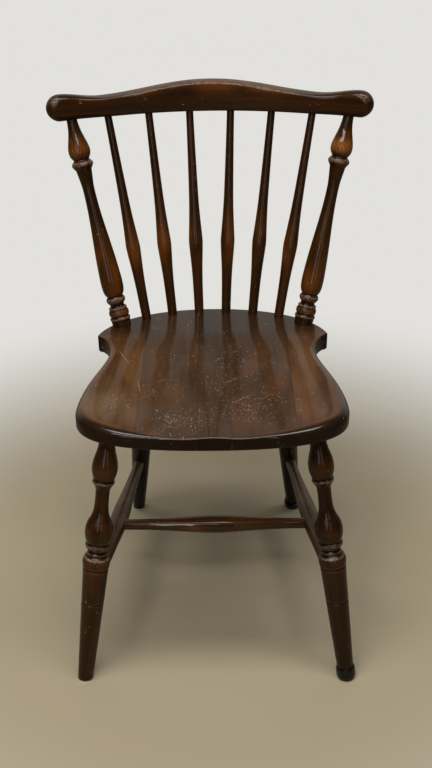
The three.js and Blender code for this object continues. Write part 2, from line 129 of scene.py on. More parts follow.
def add(tree, kind, settings=None, inputs=None, out=None):
    """Adds a node, sets its properties and inputs, and returns the named or first live output."""
    node = tree.nodes.new("ShaderNode" + kind)
    for key, value in (settings or {}).items():
        setattr(node, key, value)
    sockets = {socket.identifier: socket for socket in node.inputs}
    for key, value in (inputs or {}).items():
        if isinstance(value, bpy.types.NodeSocket):
            tree.links.new(value, sockets[key])
        else:
            sockets[key].default_value = value
    if out:
        return node.outputs[out]
    return next((socket for socket in node.outputs if socket.enabled), None)


def emptied(owner):
    """The node tree of a new material or world, without the nodes that Blender starts it with."""
    owner.use_nodes = True
    owner.node_tree.nodes.clear()
    return owner.node_tree


print("mid grey:", [round(c, 3) for c in linear("#808080")[:3]])

# %% [markdown]
# ## Walnut-stained birch under lacquer
# The wood is a close-grained pale hardwood such as birch, stained dark walnut and sprayed with a
# semi-gloss lacquer. To the eye that gives four things. The grain shows as fine darker streaks
# along the piece. The stain is uneven, so full places glow red-brown where it is thin. The grooves
# are darker, a painted shade darkens the thin necks, and the proud beads and edges are rubbed down
# to a pale grey-beige. The lacquer lays one smooth reflection over it all.
#
# Every piece carries three things on its points. "timber" is the place in the stick it was cut
# from, with the grain along Z. "proud" goes from -1 at the bottom of a groove to 1 on a bead or an
# edge, and to 2 where a foot is scraped bare. "full" goes from 0 at the thinnest place to 1 at the
# thickest, and past 1 where hands have rubbed the stain thin. The finish reads them, so the grain
# follows the piece and wear falls where hands and shoes rub, from whatever side one looks.
# On the seat, low proud and full numbers also paint the shade of its edge and of its deck.

# %% The patterns in the wood
# Each has a width and a length in millimetres, a detail and a roughness
WOOD_PATTERNS = {
    "grain": (2.6, 70, 3.0, 0.6),  # one streak; the real one is finer, and wouldn't show
    "figure": (13, 240, 2.0, 0.5),  # broad light and dark bands
    "blotch": (38, 76, 2.0, 0.5),  # patches of thin stain
    "rub": (5, 5, 3.0, 0.7),  # patches of worn lacquer along an edge
    "nick": (2.4, 3.8, 2.0, 0.5),  # small knocks; most real ones are under a millimetre
    "spread": (23, 23, 2.0, 0.5),  # where the knocks gather
}
SMOOTH_STEP = {"interpolation_type": "SMOOTHSTEP"}
BLEND = {"data_type": "RGBA"}
ADD, MULTIPLY, MAXIMUM, LESS_THAN, LENGTH, DISTANCE = (
    {"operation": word} for word in "ADD MULTIPLY MAXIMUM LESS_THAN LENGTH DISTANCE".split())
print("finest pattern:", min(width for width, *_ in WOOD_PATTERNS.values()), "mm")

# %% [markdown]
# A mask rises smoothly from 0 between two values of what it reads. Two masks multiplied leave only
# the places where both are high, such as an edge that is proud and also lies in a rubbed patch. The
# colour is then laid on in this order: wood, stain, the darker grooves and the painted shade, wear.
# A layer whose tone a stain doesn't name is left out.

# %% Masks and the order of the layers
WOOD_MASKS = {  # what it reads, where it starts, where it is full
    "band": ("figure", 0.35, 0.65),
    "patch": ("blotch", 0.35, 0.7),
    "bulge": ("full", 0.3, 1.0),
    "held": ("full", 0.95, 1.45),
    # waist is a painted shade at the thinnest places: the necks of a turning and the seat's deck
    "waist": ("full", 0.4, 0.0),
    "streak": ("grain", 0.5, 0.32),
    # groove darkens the grooves, and on the seat it paints the shade of the edge
    "groove_and_edge_shade": ("proud", -0.1, -0.7),
    "edge": ("proud", 0.15, 0.75),
    "scraped": ("proud", 1.05, 1.4),
    "bared": ("rub", 0.36, 0.6),
    "knock": ("nick", 0.69, 0.74),
    "cluster": ("spread", 0.52, 0.66),
}
WOOD_PAIRS = {"thin": ("patch", "bulge"), "worn": ("edge", "bared"), "chips": ("knock", "cluster")}
WOOD_COVERS = {"streak": 0.4, "waist": 0.3, "groove_and_edge_shade": 0.85}  # masks that never get full
WOOD_LAYERS = [("band", "body"), ("thin", "glow"), ("held", "amber"), ("streak", "pore_and_shade"),
               ("waist", "pore_and_shade"), ("groove_and_edge_shade", "pore_and_shade"), ("worn", "worn"), ("scraped", "raw"),
               ("chips", "bare")]
print(len(WOOD_LAYERS), "layers over the first stain")

# %% The stain and lacquer, as one function for all the wood
LACQUER_IOR = 1.5
WOOD_MIRROR = 0.06  # specular level of the wood itself, which hardly mirrors under its lacquer
WORN_DULL = {"From Min": 0.3, "From Max": 1.6, "To Min": 0.28, "To Max": 0.58}  # roughness by wear
PORE_DEPTH, PORE_STRENGTH = 0.4, 0.06  # lacquer fills most of the grain


def stained_wood(name, stain, cover=None):
    """A stained and lacquered wood, with its grain along the Z of the timber place.

    cover changes how strong some masks may get.
    """
    tops = WOOD_COVERS | (cover or {})
    material = bpy.data.materials.new(name)
    tree = emptied(material)
    place = add(tree, "Attribute", {"attribute_name": "timber"}, out="Vector")
    look = {number: add(tree, "Attribute", {"attribute_name": number}, out="Fac")
            for number in ("proud", "full")}
    for pattern, (width, length, detail, roughness) in WOOD_PATTERNS.items():
        scale = [1 / (size * MM) for size in (width, width, length)]
        stretched = add(tree, "Mapping", {}, {"Vector": place, "Scale": scale})
        look[pattern] = add(tree, "TexNoise", {}, {
            "Vector": stretched, "Scale": 1.0, "Detail": detail, "Roughness": roughness})
    for mask, (source, low, high) in WOOD_MASKS.items():
        look[mask] = add(tree, "MapRange", SMOOTH_STEP, {
            "Value": look[source], "From Min": low, "From Max": high,
            "To Max": tops.get(mask, 1.0)})
    for mask, (first, second) in WOOD_PAIRS.items():
        look[mask] = add(tree, "Math", MULTIPLY, {
            "Value": look[first], "Value_001": look[second]})

    colour = linear(stain["deep"])
    for mask, tone in WOOD_LAYERS:
        if tone in stain:
            colour = add(tree, "Mix", BLEND, {
                "Factor_Float": look[mask], "A_Color": colour, "B_Color": linear(stain[tone])})
    wear = add(tree, "Math", ADD, {"Value": look["worn"], "Value_001": look["rub"]})
    dulled = add(tree, "MapRange", {}, {"Value": wear} | WORN_DULL)
    relief = add(tree, "Math", ADD, {"Value": look["grain"], "Value_001": look["nick"]})
    bump = add(tree, "Bump", {}, {
        "Height": relief, "Strength": PORE_STRENGTH, "Distance": PORE_DEPTH * MM})
    surface = add(tree, "BsdfPrincipled", {}, {
        "Base Color": colour, "Roughness": dulled, "Normal": bump,
        "IOR": LACQUER_IOR, "Specular IOR Level": WOOD_MIRROR, "Coat IOR": LACQUER_IOR,
        "Coat Weight": stain["lacquer"], "Coat Roughness": stain["haze"]})
    add(tree, "OutputMaterial", {}, {"Surface": surface})
    return material


# %% [markdown]
# The pieces took the same stain differently. The legs are browner than the back and have lost some
# of their gloss. The right front leg has a darker copy of their stain, and the rear legs under the
# seat the darkest, both as painted shade. A stain names its tones, how much lacquer is left on it,
# and how hazy that has become.

# %% The stains of the turned pieces
turned_stain = {
    "deep": "#291605", "body": "#3b2007", "glow": "#60330d", "pore_and_shade": "#180b03",
    "worn": "#8f7c66", "bare": "#b5a48c", "raw": "#e0d3ba", "lacquer": 0.32, "haze": 0.06}
leg_stain = turned_stain | {
    "deep": "#2a1705", "body": "#3b2207", "glow": "#532f0b", "lacquer": 0.25, "haze": 0.12}
# a painted shade for the rear legs under the seat
shaded_stain = turned_stain | {
    "deep": "#1a0c05", "body": "#221007", "glow": "#2b1609", "lacquer": 0.15}
turned_birch = stained_wood("turned_birch_walnut_stain", turned_stain, {"edge": 0.85})
leg_birch = stained_wood("turned_birch_brown_walnut_stain", leg_stain, {"edge": 0.8})
rear_shaded_birch = stained_wood("turned_birch_painted_shade_walnut_stain", shaded_stain, {"edge": 0.3})
# a painted shade for the right front leg
right_shaded_birch = stained_wood("turned_birch_right_painted_shade_walnut_stain", leg_stain | {
    "deep": "#1d0f04", "body": "#2a1706", "glow": "#3d2208"}, {"edge": 0.7})
for wood in (turned_birch, leg_birch, rear_shaded_birch, right_shaded_birch):
    print(wood.name, len(wood.node_tree.nodes), "nodes")

# %% [markdown]
# ## Turning a piece
# A lathe cuts one outline all the way round, so a turned piece is an outline and an axis. The
# outline is kept the way a turner thinks of it: as runs, each a smooth sweep of the tool, that meet
# at crisp lines. A point is a share of the length and a share of the fullest radius. A smooth curve
# is drawn through the points of each run, and where two runs meet the corner is broken by a third
# of a millimetre, because lacquer never stands on a knife edge.

# %% A smooth sweep through points
CURVE_STEP = 1.3  # spacing of the points drawn along a run
MOST_STEPS = 9  # between two given points
BLEND_SPANS = [((0, 1), (1, 2), (2, 3)), ((0, 2), (1, 3)), ((1, 2),)]  # knots of each blending


def blended(points, knots, spans, t):
    """Each point and the next one mixed, by where t lies between the knots of their span."""
    mixed = []
    for a, b, (i, j) in zip(points, points[1:], spans):
        run = knots[j] - knots[i]
        mixed.append(a * ((knots[j] - t) / run) + b * ((t - knots[i]) / run))
    return mixed


def sweep(points):
    """A centripetal Catmull-Rom curve through points, which neither loops nor overshoots."""
    ends = [points[0] * 2 - points[1], *points, points[-1] * 2 - points[-2]]
    curve = []
    for four in zip(ends, ends[1:], ends[2:], ends[3:]):
        knots = [0.0]
        for first, second in zip(four, four[1:]):
            knots.append(knots[-1] + math.sqrt((second - first).length))
        steps = min(MOST_STEPS, math.ceil((four[2] - four[1]).length / CURVE_STEP))
        for step in range(steps):
            t = knots[1] + (knots[2] - knots[1]) * step / steps
            mixed = four
            for spans in BLEND_SPANS:
                mixed = blended(mixed, knots, spans, t)
            curve += mixed
    return [*curve, points[-1]]


test_points = [Vector((9, 0)), Vector((12, 20)), Vector((9, 40))]
print("a test sweep has", len(sweep(test_points)), "points")

# %% Sweeps that meet at broken corners
BROKEN_CORNER, MOST_BROKEN = 0.35, 0.4  # in millimetres, and as a share of the step beside it
SAME_POINT = 0.035  # runs that end and start this close to each other share a point


def break_corners(outline, corners):
    """Replaces each crisp corner by a short flat across it."""
    softened = []
    for i, point in enumerate(outline):
        if i in corners and 0 < i < len(outline) - 1:
            for beside in (outline[i - 1], outline[i + 1]):
                way = beside - point
                softened.append(point + way * min(MOST_BROKEN, BROKEN_CORNER / way.length))
        else:
            softened.append(point)
    return softened


def outline_of(runs, length, radius):
    """Points (radius, height) from the bottom of a turned piece to its top, in millimetres."""
    outline, corners = [], set()
    for run in runs:
        points = [Vector((width * radius, height * length)) for height, width in run]
        curve = sweep(points) if len(points) > 1 else points
        if outline and (outline[-1] - curve[0]).length < SAME_POINT:
            curve = curve[1:]
            corners.add(len(outline) - 1)
        elif outline:
            corners.update((len(outline) - 1, len(outline)))
        outline += curve
    return break_corners(outline, corners)


test_runs = [[(0, 1), (0.5, 0.7)], [(0.5, 0.7), (1, 1)]]
print("a test outline has", len(outline_of(test_runs, 40, 12)), "points")

# %% [markdown]
# An outline becomes a mesh by standing it up in rings about an upright axis. Each point then keeps
# that upright place as its place in the timber, and is laid along the axis that the joints give. So
# the grain runs down the middle of the stick, as it does in a real turning. Every piece is cut from
# another place in the timber, so no two have the same figure. While the rings are made, each is
# compared with its neighbours to find out how proud it stands.

# %% How proud each place stands, and how a piece is laid
PROUD_REACH = 4.5  # how far along the outline a bead is compared with what lies beside it
PROUD_HEIGHT = 1.6  # standing this far out counts as fully proud


def proud_numbers(outline):
    """How far each point stands out from the outline on both sides of it, from -1 to 1."""
    numbers = []
    for point in outline:
        beside = [p.x for p in outline if abs(p.y - point.y) <= PROUD_REACH]
        level = sum(beside) / len(beside)
        numbers.append(max(-1.0, min(1.0, (point.x - level) / PROUD_HEIGHT)))
    return numbers


def span(axis):
    start, end = axis
    return (end - start).length


def laid_along(start, end):
    """Turns and moves an upright piece so that its foot is at start and it points to end."""
    return Matrix.Translation(start) @ (end - start).to_track_quat("Z", "Y").to_matrix().to_4x4()


lying = laid_along(Vector((0, 0, 0)), Vector((100, 0, 0))) @ Vector((0, 0, 100))
print("a stick laid along X ends at", [round(x) for x in lying])

# %% [markdown]
# Turned pieces, seat and rail are all made as rings of points. So one function joins rings to a
# skin and writes the three things on its points. A second one saws, for the feet and the glue
# lines. The chair has no moving parts, so every piece rides on the root.

# %% Join rings of points to a skin
STICK_STEP = Vector((310, 170, 900))  # from one stick to the next in the timber
stick = count(1)


def skinned(rings):
    """A mesh that joins each ring of points to the next one, and the rings of its own points.

    A point is given as its place, its place in a stick, and how proud and how full it is. The last
    ring may be a single point.
    """
    bm = bmesh.new()
    timber = bm.verts.layers.float_vector.new("timber")
    proud, full = [bm.verts.layers.float.new(name) for name in ("proud", "full")]
    sawn_from = STICK_STEP * next(stick)
    rows = []
    for ring in rings:
        row = []
        for place, in_stick, stands, fullness in ring:
            vertex = bm.verts.new(place)
            vertex[timber] = (in_stick + sawn_from) * MM
            vertex[proud], vertex[full] = stands, fullness
            row.append(vertex)
        rows.append(row)
    for low, high in zip(rows, rows[1:]):
        for i in range(len(low)):
            j = (i + 1) % len(low)
            corners = (low[i], low[j], high[j % len(high)], high[i % len(high)])
            bm.faces.new(list(dict.fromkeys(corners)))
    return bm, rows


print("from one stick to the next:", *STICK_STEP, "mm")

# %% Saw a mesh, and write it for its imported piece
CRISP_EDGE = 38  # degrees between two faces from which their edge is shaded as a crisp one


def saw(bm, point, keep):
    """Cuts with a plane through point, keeps the side that keep points to, and closes the cut."""
    whole = bm.verts[:] + bm.edges[:] + bm.faces[:]
    cut = bmesh.ops.bisect_plane(bm, geom=whole, plane_co=point, plane_no=keep, clear_inner=True)
    rim = [e for e in cut["geom_cut"] if isinstance(e, bmesh.types.BMEdge)]
    bmesh.ops.holes_fill(bm, edges=rim)


def finished(name, bm, material, node, crisp=CRISP_EDGE):
    """Writes a mesh in metres, shades it smooth with crisp edges, and puts it for its node."""
    bmesh.ops.scale(bm, vec=(MM, MM, MM), verts=bm.verts)
    bmesh.ops.recalc_face_normals(bm, faces=bm.faces)
    mesh = bpy.data.meshes.new(name)
    bm.to_mesh(mesh)
    bm.free()
    mesh.shade_smooth()
    mesh.set_sharp_from_angle(angle=math.radians(crisp))
    mesh.materials.append(material)
    piece = placed(name, mesh)
    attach(piece, "root")
    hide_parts(node)
    return piece


print("edges are crisp from", CRISP_EDGE, "degrees")

# %% Turn an outline into a piece
TURNED_SIDES = 56
FOOT_DARKER_BY = 0.42  # how much lower the foot of a post counts than it stands, which makes it darker
SCRAPED, SCRAPED_PROUD = 5, 2  # height and number of the scraped rim of a sawn foot
UP = Vector((0, 0, 1))


def turned(name, outline, axis, node, cut_level=None, sides=TURNED_SIDES, material=None,
           darker_below=0, held=None):
    """A turned piece. cut_level is a height above the floor below which it is sawn off,
    darker_below a height along the piece below which it is darker, and held the middle, the reach
    and the strength of a place along it where hands have rubbed the stain thin."""
    place = laid_along(*axis)
    thinnest, thickest = (pick(p.x for p in outline) for pick in (min, max))
    rings = []
    for point, stands in zip(outline, proud_numbers(outline)):
        fullness = (point.x - thinnest) / (thickest - thinnest)
        if held:
            middle, reach, most = held
            fullness += most * max(0.0, 1 - ((point.y - middle) / reach) ** 2)
        if point.y < darker_below:
            stands -= FOOT_DARKER_BY
        ring = []
        for side in range(sides):
            turn = 2 * math.pi * side / sides
            upright = Vector((math.cos(turn) * point.x, math.sin(turn) * point.x, point.y))
            ring.append((place @ upright, upright, stands, fullness))
        rings.append(ring)
    bm, rows = skinned(rings)
    bm.faces.new(rows[0])
    bm.faces.new(rows[-1])
    if cut_level is not None:
        proud = bm.verts.layers.float["proud"]
        saw(bm, UP * cut_level, UP)
        scraped_to = UP * (cut_level + SCRAPED)
        whole = bm.verts[:] + bm.edges[:] + bm.faces[:]
        bmesh.ops.bisect_plane(bm, geom=whole, plane_co=scraped_to, plane_no=UP)
        for vertex in bm.verts:
            if vertex.co.z < scraped_to.z - BROKEN_CORNER:
                vertex[proud] = SCRAPED_PROUD
            elif vertex.co.z < scraped_to.z + BROKEN_CORNER:
                vertex[proud] = 0
    return finished(name, bm, material or turned_birch, node)


print("a turned piece has", TURNED_SIDES, "sides")

# %% [markdown]
# ## Legs
# A front leg rises from a thin foot in a long taper with two cut lines, then comes the decorated
# part: a shoulder, a bead, a fat vase with a slim neck, a ring, and a smaller vase under the seat.
# The rear legs are plain, fullest halfway up. All four splay outwards and forwards or backwards, so
# their feet are sawn level with the floor after they are set at their angle. The stain is scraped
# off round the sawn rim of a bare foot, so those points get the number for scraped wood.

# %% Sizes and outlines of the legs
LEG_RADIUS, REAR_LEG_RADIUS, LEG_TOP_RADIUS = 21.9, 17.5, 12.4
FRONT_TOP, FRONT_FOOT = (156, -149), (211, -229)
REAR_TOP, REAR_FOOT = (114, 69), (152.5, 238)
TIP_FLOOR = 4  # rubber under the end of a leg

front_leg_shares = [
    [(0, 0.557), (0.163, 0.69), (0.33, 0.817)],  # long taper up from the foot
    [(0.3325, 0.745)],  # bottom of a cut line
    [(0.335, 0.822), (0.408, 0.872), (0.471, 0.927)],
    [(0.474, 0.84)],  # bottom of the second cut line
    [(0.477, 0.945), (0.496, 0.986), (0.509, 0.963), (0.519, 0.868), (0.526, 0.694)],  # shoulder
    [(0.526, 0.694), (0.532, 0.726), (0.538, 0.648)],  # small bead
    [(0.541, 0.59), (0.544, 0.62)],  # undercut
    [(0.544, 0.62), (0.551, 0.758), (0.56, 0.87), (0.567, 0.885), (0.572, 0.85)],  # bead
    [(0.5755, 0.75)],  # bottom of the groove under the vase
    [(0.579, 0.838), (0.596, 0.954), (0.613, 1), (0.636, 0.977), (0.656, 0.872), (0.676, 0.69),
     (0.696, 0.562), (0.716, 0.507), (0.75, 0.484), (0.785, 0.495)],  # lower vase and its neck
    [(0.785, 0.495), (0.798, 0.594), (0.807, 0.71), (0.814, 0.785), (0.819, 0.775)],  # ring
    [(0.824, 0.67)],  # bottom of the notch over the ring
    [(0.829, 0.75), (0.84, 0.817), (0.853, 0.877), (0.868, 0.904), (0.891, 0.863), (0.91, 0.776),
     (0.929, 0.667), (0.951, 0.589), (0.972, 0.566)],  # upper vase
]
rear_leg_shares = [
    [(0, 0.646), (0.22, 0.834), (0.42, 0.971), (0.52, 1), (0.66, 0.937), (0.84, 0.777),
     (0.95, 0.709)],
]
print("a front leg is drawn in", len(front_leg_shares), "runs")

# %% Turn the four legs
leg_rows = {"front": (FRONT_FOOT, FRONT_TOP, front_leg_shares, LEG_RADIUS),
            "rear": (REAR_FOOT, REAR_TOP, rear_leg_shares, REAR_LEG_RADIUS)}
leg_woods = {("front", "left"): leg_birch, ("front", "right"): right_shaded_birch,
             ("rear", "left"): rear_shaded_birch, ("rear", "right"): rear_shaded_birch}


def leg_axis(foot, top, side):
    start = Vector((side * foot[0], foot[1] + SEAT_SHIFT, 0))
    return start, Vector((side * top[0], top[1] + SEAT_SHIFT, SEAT_UNDERSIDE))


def leg_outline(shares, axis, radius):
    """A leg's outline with its foot run on past the floor and its plain end run up to the seat."""
    length = span(axis)
    outline = outline_of(shares, length, radius)
    foot = outline[0]
    return [Vector((foot.x, -foot.x)), *outline, Vector((LEG_TOP_RADIUS, length + TUCK))]


legs = {}
for hand, side in HANDS.items():
    foot_level = TIP_FLOOR if hand == "right" else 0
    for row, (foot, top, shares, radius) in leg_rows.items():
        axis = leg_axis(foot, top, side)
        outline = leg_outline(shares, axis, radius)
        legs[row, hand] = (axis, outline)
        name = f"{row}_leg_{hand}"
        piece = turned("turned_" + name, outline, axis, name, cut_level=foot_level,
                       material=leg_woods[row, hand])
        print(piece.name, len(piece.data.polygons), "faces")

# %% [markdown]
# ## Rubber tips
# The right-hand legs stand in black rubber tips, moulded as small cups. Moulded rubber is smooth
# and almost black, so it gives the eye a soft broad shine, with a little dust here and there. The
# rim is thin enough to catch the light. The cup is one more turned outline: up the outside, over
# the rim and down the bore to the floor of the cup.

# %% The rubber
RUBBER_GRIT, DUST_PATCH = 1.5, 8  # the mould's real grain is finer, and wouldn't show
DUST = {"From Min": 0.4, "From Max": 0.75, "To Max": 0.35}  # from clean to dusty
RUBBER_SHEEN = {"To Min": 0.14, "To Max": 0.3}  # roughness, by the grain of the mould
GRIT_DEPTH, GRIT_STRENGTH = 0.3, 0.25
RUBBER_IOR, RUBBER_MIRROR = 1.52, 0.28


def moulded_rubber(name):
    """Black rubber with the fine grain of its mould and a little dust in patches."""
    material = bpy.data.materials.new(name)
    tree = emptied(material)
    place = add(tree, "TexCoord", out="Object")
    grit, film = (add(tree, "TexNoise", {}, {
        "Vector": place, "Scale": 1 / (size * MM), "Detail": detail})
        for size, detail in ((RUBBER_GRIT, 4.0), (DUST_PATCH, 3.0)))
    dust = add(tree, "MapRange", {}, {"Value": film} | DUST)
    colour = add(tree, "Mix", BLEND, {
        "Factor_Float": dust, "A_Color": linear("#060504"), "B_Color": linear("#1d1916")})
    rough = add(tree, "MapRange", {}, {"Value": grit} | RUBBER_SHEEN)
    bump = add(tree, "Bump", {}, {
        "Height": grit, "Strength": GRIT_STRENGTH, "Distance": GRIT_DEPTH * MM})
    surface = add(tree, "BsdfPrincipled", {}, {
        "Base Color": colour, "Roughness": rough, "Normal": bump,
        "IOR": RUBBER_IOR, "Specular IOR Level": RUBBER_MIRROR})
    add(tree, "OutputMaterial", {}, {"Surface": surface})
    return material


black_rubber = moulded_rubber("moulded_black_rubber")
print(black_rubber.name, len(black_rubber.node_tree.nodes), "nodes")

# %% The two tips
TIP_RADIUS, TIP_HEIGHT = 15.5, 19
TIP_LIP = 0.5  # rounding of the rim
LIP_BEND = [(0.4, 0.8), (1, 1)]  # points over the rim, as shares of that inwards and upwards
JOINT_GAP = 0.3  # between a leg and the bore of its tip
tip_shares = [(-0.42, 0.6), (-0.16, 0.8), (0.05, 0.925), (0.26, 0.985), (0.6, 1), (0.9, 0.98),
              (1, 0.94)]


def tip_outline(leg_line):
    """Points up the outside of the cup, over its rim and down its bore."""
    outside = sweep([Vector((width * TIP_RADIUS, height * TIP_HEIGHT))
                     for height, width in tip_shares])
    rim = outside[-1]
    bore = next(p.x for p in leg_line if p.y > TIP_HEIGHT) + JOINT_GAP
    over = [Vector((rim.x - TIP_LIP * inwards, rim.y + TIP_LIP * upwards))
            for inwards, upwards in LIP_BEND]
    inner = [Vector((bore + TIP_LIP, rim.y + TIP_LIP)), Vector((bore, rim.y)),
             Vector((bore, TIP_FLOOR))]
    return [*outside, *over, *inner]


for row in leg_rows:
    axis, leg_line = legs[row, "right"]
    tip = turned(f"rubber_tip_{row}", tip_outline(leg_line), axis, f"{row}_tip_right", cut_level=0,
                 material=black_rubber)
    print(tip.name, [round(x / MM, 1) for x in tip.dimensions])

# %% [markdown]
# ## Stretchers
# A stretcher joins the two legs of each side, and a third one joins those two, which makes an H.
# Each swells from its ends to its middle, and its plain ends go straight into their holes. The
# centre one has kept its red stain and its gloss. The side ones are painted paler and greyer, a
# painted sheen of the floor that they mirror.

# %% The stains of the stretchers
centre_birch = stained_wood("turned_birch_red_walnut_stain", turned_stain | {
    "deep": "#412710", "body": "#5e3b15", "glow": "#88541c", "lacquer": 0.5}, {"edge": 0.7})
# the side stretchers are painted paler and greyer, a painted sheen of the floor they mirror
side_sheen_birch = stained_wood("turned_birch_painted_sheen_walnut_stain", turned_stain | {
    "deep": "#3d2c1a", "body": "#523c25", "glow": "#69503a"}, {"edge": 0.7})
print("stained:", centre_birch.name, side_sheen_birch.name)

# %% Turn the three stretchers
STRETCHER_HEIGHT = 155
STRETCHER_RADIUS, STRETCHER_END_RADIUS = 15.3, 9.2
CENTRE_SHARE = 0.46  # place of the centre stretcher along the side ones, from the front
# Shares of the way to the middle and of the swelling
stretcher_shares = [(0.25, 0), (0.4, 0.13), (0.55, 0.36), (0.7, 0.62), (0.82, 0.86), (0.91, 0.97),
                    (1, 1)]


def stretcher_outline(length):
    """A plain end, the swelling up to the middle, and the same again the other way round."""
    swell = STRETCHER_RADIUS - STRETCHER_END_RADIUS
    half = [Vector((STRETCHER_END_RADIUS + rise * swell, run * length / 2))
            for run, rise in stretcher_shares]
    other = [Vector((p.x, length - p.y)) for p in reversed(half[:-1])]
    ends = [Vector((STRETCHER_END_RADIUS, height)) for height in (0, length)]
    return sweep([ends[0], *half, *other, ends[1]])


def at_height(axis, height):
    start, end = axis
    return start.lerp(end, height / (end.z - start.z))


side_axes = {hand: [at_height(legs[row, hand][0], STRETCHER_HEIGHT) for row in leg_rows]
             for hand in HANDS}
centre_axis = [side_axes[hand][0].lerp(side_axes[hand][1], CENTRE_SHARE) for hand in HANDS]
stretchers = {f"side_stretcher_{hand}": (side_axes[hand], side_sheen_birch) for hand in HANDS}
stretchers["centre_stretcher"] = (centre_axis, centre_birch)
for name, (axis, wood) in stretchers.items():
    turned("turned_" + name, stretcher_outline(span(axis)), axis, name, material=wood)
    print(name, round(span(axis)), "mm between axes")

# %% [markdown]
# ## Back posts and spindles
# The holes for the back lie on an arc in the seat and on a wider arc under the rail, so the back
# fans out and leans. The two posts are turned with beads at the foot, a long baluster, a sharp
# collar and a small vase. A chair is lifted by those vases, so hands have rubbed the stain thin
# there, and the wood glows through it in amber. The foot of each post is darker. The six spindles
# are plain, with one soft swelling about a third of the way up.

# %% Where the holes of the back lie
CREST_SETBACK = 75
SEAT_ROW_RADIUS, SEAT_ROW_INSET, SEAT_ROW_SPACING = 296, 12.4, 46.8
CREST_RADIUS, CREST_ROW_SPACING, POST_ROW_PLACE = 548, 68, 231
SPINDLE_COUNT = 6
seat_row_apex = SEAT_DEPTH / 2 - SEAT_ROW_INSET + SEAT_SHIFT
crest_apex = seat_row_apex + CREST_SETBACK


def on_arc(radius, arc, apex, height):
    turn = arc / radius
    return Vector((radius * math.sin(turn), apex - radius + radius * math.cos(turn), height))


def back_axis(seat_arc, crest_arc):
    foot = on_arc(SEAT_ROW_RADIUS, seat_arc, seat_row_apex, SEAT_HEIGHT)
    return foot, on_arc(CREST_RADIUS, crest_arc, crest_apex, CREST_HEIGHT)


spindle_steps = [i - (SPINDLE_COUNT - 1) / 2 for i in range(SPINDLE_COUNT)]
spindle_axes = [back_axis(step * SEAT_ROW_SPACING, step * CREST_ROW_SPACING)
                for step in spindle_steps]
post_arc = (SPINDLE_COUNT + 1) / 2 * SEAT_ROW_SPACING
post_axes = {hand: back_axis(side * post_arc, side * POST_ROW_PLACE)
             for hand, side in HANDS.items()}
print("spindles", round(span(spindle_axes[0])), "mm long")

# %% Outlines of the posts and spindles
POST_RADIUS, SPINDLE_RADIUS = 18.5, 11.9
post_shares = [
    [(0, 0.84), (0.026, 0.892)],  # base
    [(0.029, 0.935), (0.036, 0.935)],  # fillet
    [(0.043, 0.811), (0.051, 0.903), (0.061, 0.93), (0.07, 0.897), (0.078, 0.811)],  # lower bead
    [(0.082, 0.827), (0.087, 0.838), (0.09, 0.811)],  # thin ring
    [(0.092, 0.681), (0.098, 0.632), (0.107, 0.681)],  # cove
    [(0.107, 0.681), (0.117, 0.832), (0.128, 0.876), (0.137, 0.816), (0.143, 0.724)],  # upper bead
    [(0.145, 0.714), (0.154, 0.832), (0.165, 0.914), (0.182, 0.973), (0.217, 1), (0.256, 0.976),
     (0.336, 0.892), (0.416, 0.776), (0.494, 0.654), (0.572, 0.559), (0.65, 0.519), (0.687, 0.535),
     (0.725, 0.611), (0.764, 0.703)],  # long baluster
    [(0.764, 0.703), (0.784, 0.941)],  # collar, sharp below and round above
    [(0.784, 0.941), (0.789, 0.962), (0.798, 0.908), (0.807, 0.757), (0.812, 0.686)],
    [(0.812, 0.686), (0.819, 0.778), (0.833, 0.914), (0.852, 0.968), (0.873, 0.919), (0.897, 0.805),
     (0.92, 0.681), (0.943, 0.573), (0.98, 0.476), (1, 0.465)],  # vase and neck
]
spindle_shares = [
    [(0, 0.664), (0.04, 0.672), (0.165, 0.723), (0.247, 0.815), (0.327, 0.958), (0.367, 1),
     (0.407, 0.933), (0.487, 0.79), (0.566, 0.69), (0.76, 0.58), (0.948, 0.517), (1, 0.513)],
]
print("a post is drawn in", len(post_shares), "runs, a spindle in", len(spindle_shares))

# %% Turn the posts and spindles
POST_BASE = 9  # height of the darker foot
POST_HELD = (0.88, 0.09)  # middle and reach of the rubbed vase, as shares of the length
HELD_MOST = {"left": 0.22, "right": 0.5}  # how strongly each vase has been rubbed
SPINDLE_SIDES = 36
post_birch = stained_wood("turned_birch_rubbed_walnut_stain",
                          turned_stain | {"amber": "#7e4b1d"}, {"edge": 0.85})


def tucked(shares, axis, radius):
    """An outline whose two ends run on into the seat and the rail."""
    outline = outline_of(shares, span(axis), radius)
    foot, head = outline[0], outline[-1]
    return [Vector((foot.x, -TUCK)), *outline, Vector((head.x, span(axis) + TUCK))]


for hand, axis in post_axes.items():
    name = f"back_post_{hand}"
    outline = tucked(post_shares, axis, POST_RADIUS)
    middle, reach = (share * span(axis) for share in POST_HELD)
    piece = turned("turned_" + name, outline, axis, name, material=post_birch,
                   darker_below=POST_BASE, held=(middle, reach, HELD_MOST[hand]))
    print(piece.name, len(piece.data.polygons), "faces")
for number, axis in enumerate(spindle_axes, 1):
    outline = tucked(spindle_shares, axis, SPINDLE_RADIUS)
    piece = turned(f"turned_spindle_{number}", outline, axis, f"spindle_{number}",
                   sides=SPINDLE_SIDES)
    print(piece.name, len(piece.data.polygons), "faces")

# %% [markdown]
# ## Seat
# The plank is glued up from five boards and then shaped as one: a flat deck at the back for the
# posts and spindles, two hollows with a low ridge between the thighs, and small ears behind a cove
# on each side. The whole seat is made first, as rings that run round its outline, and is then sawn
# at the glue lines. That way the shape flows over the joints, but each board can have its own tone
# and grain.

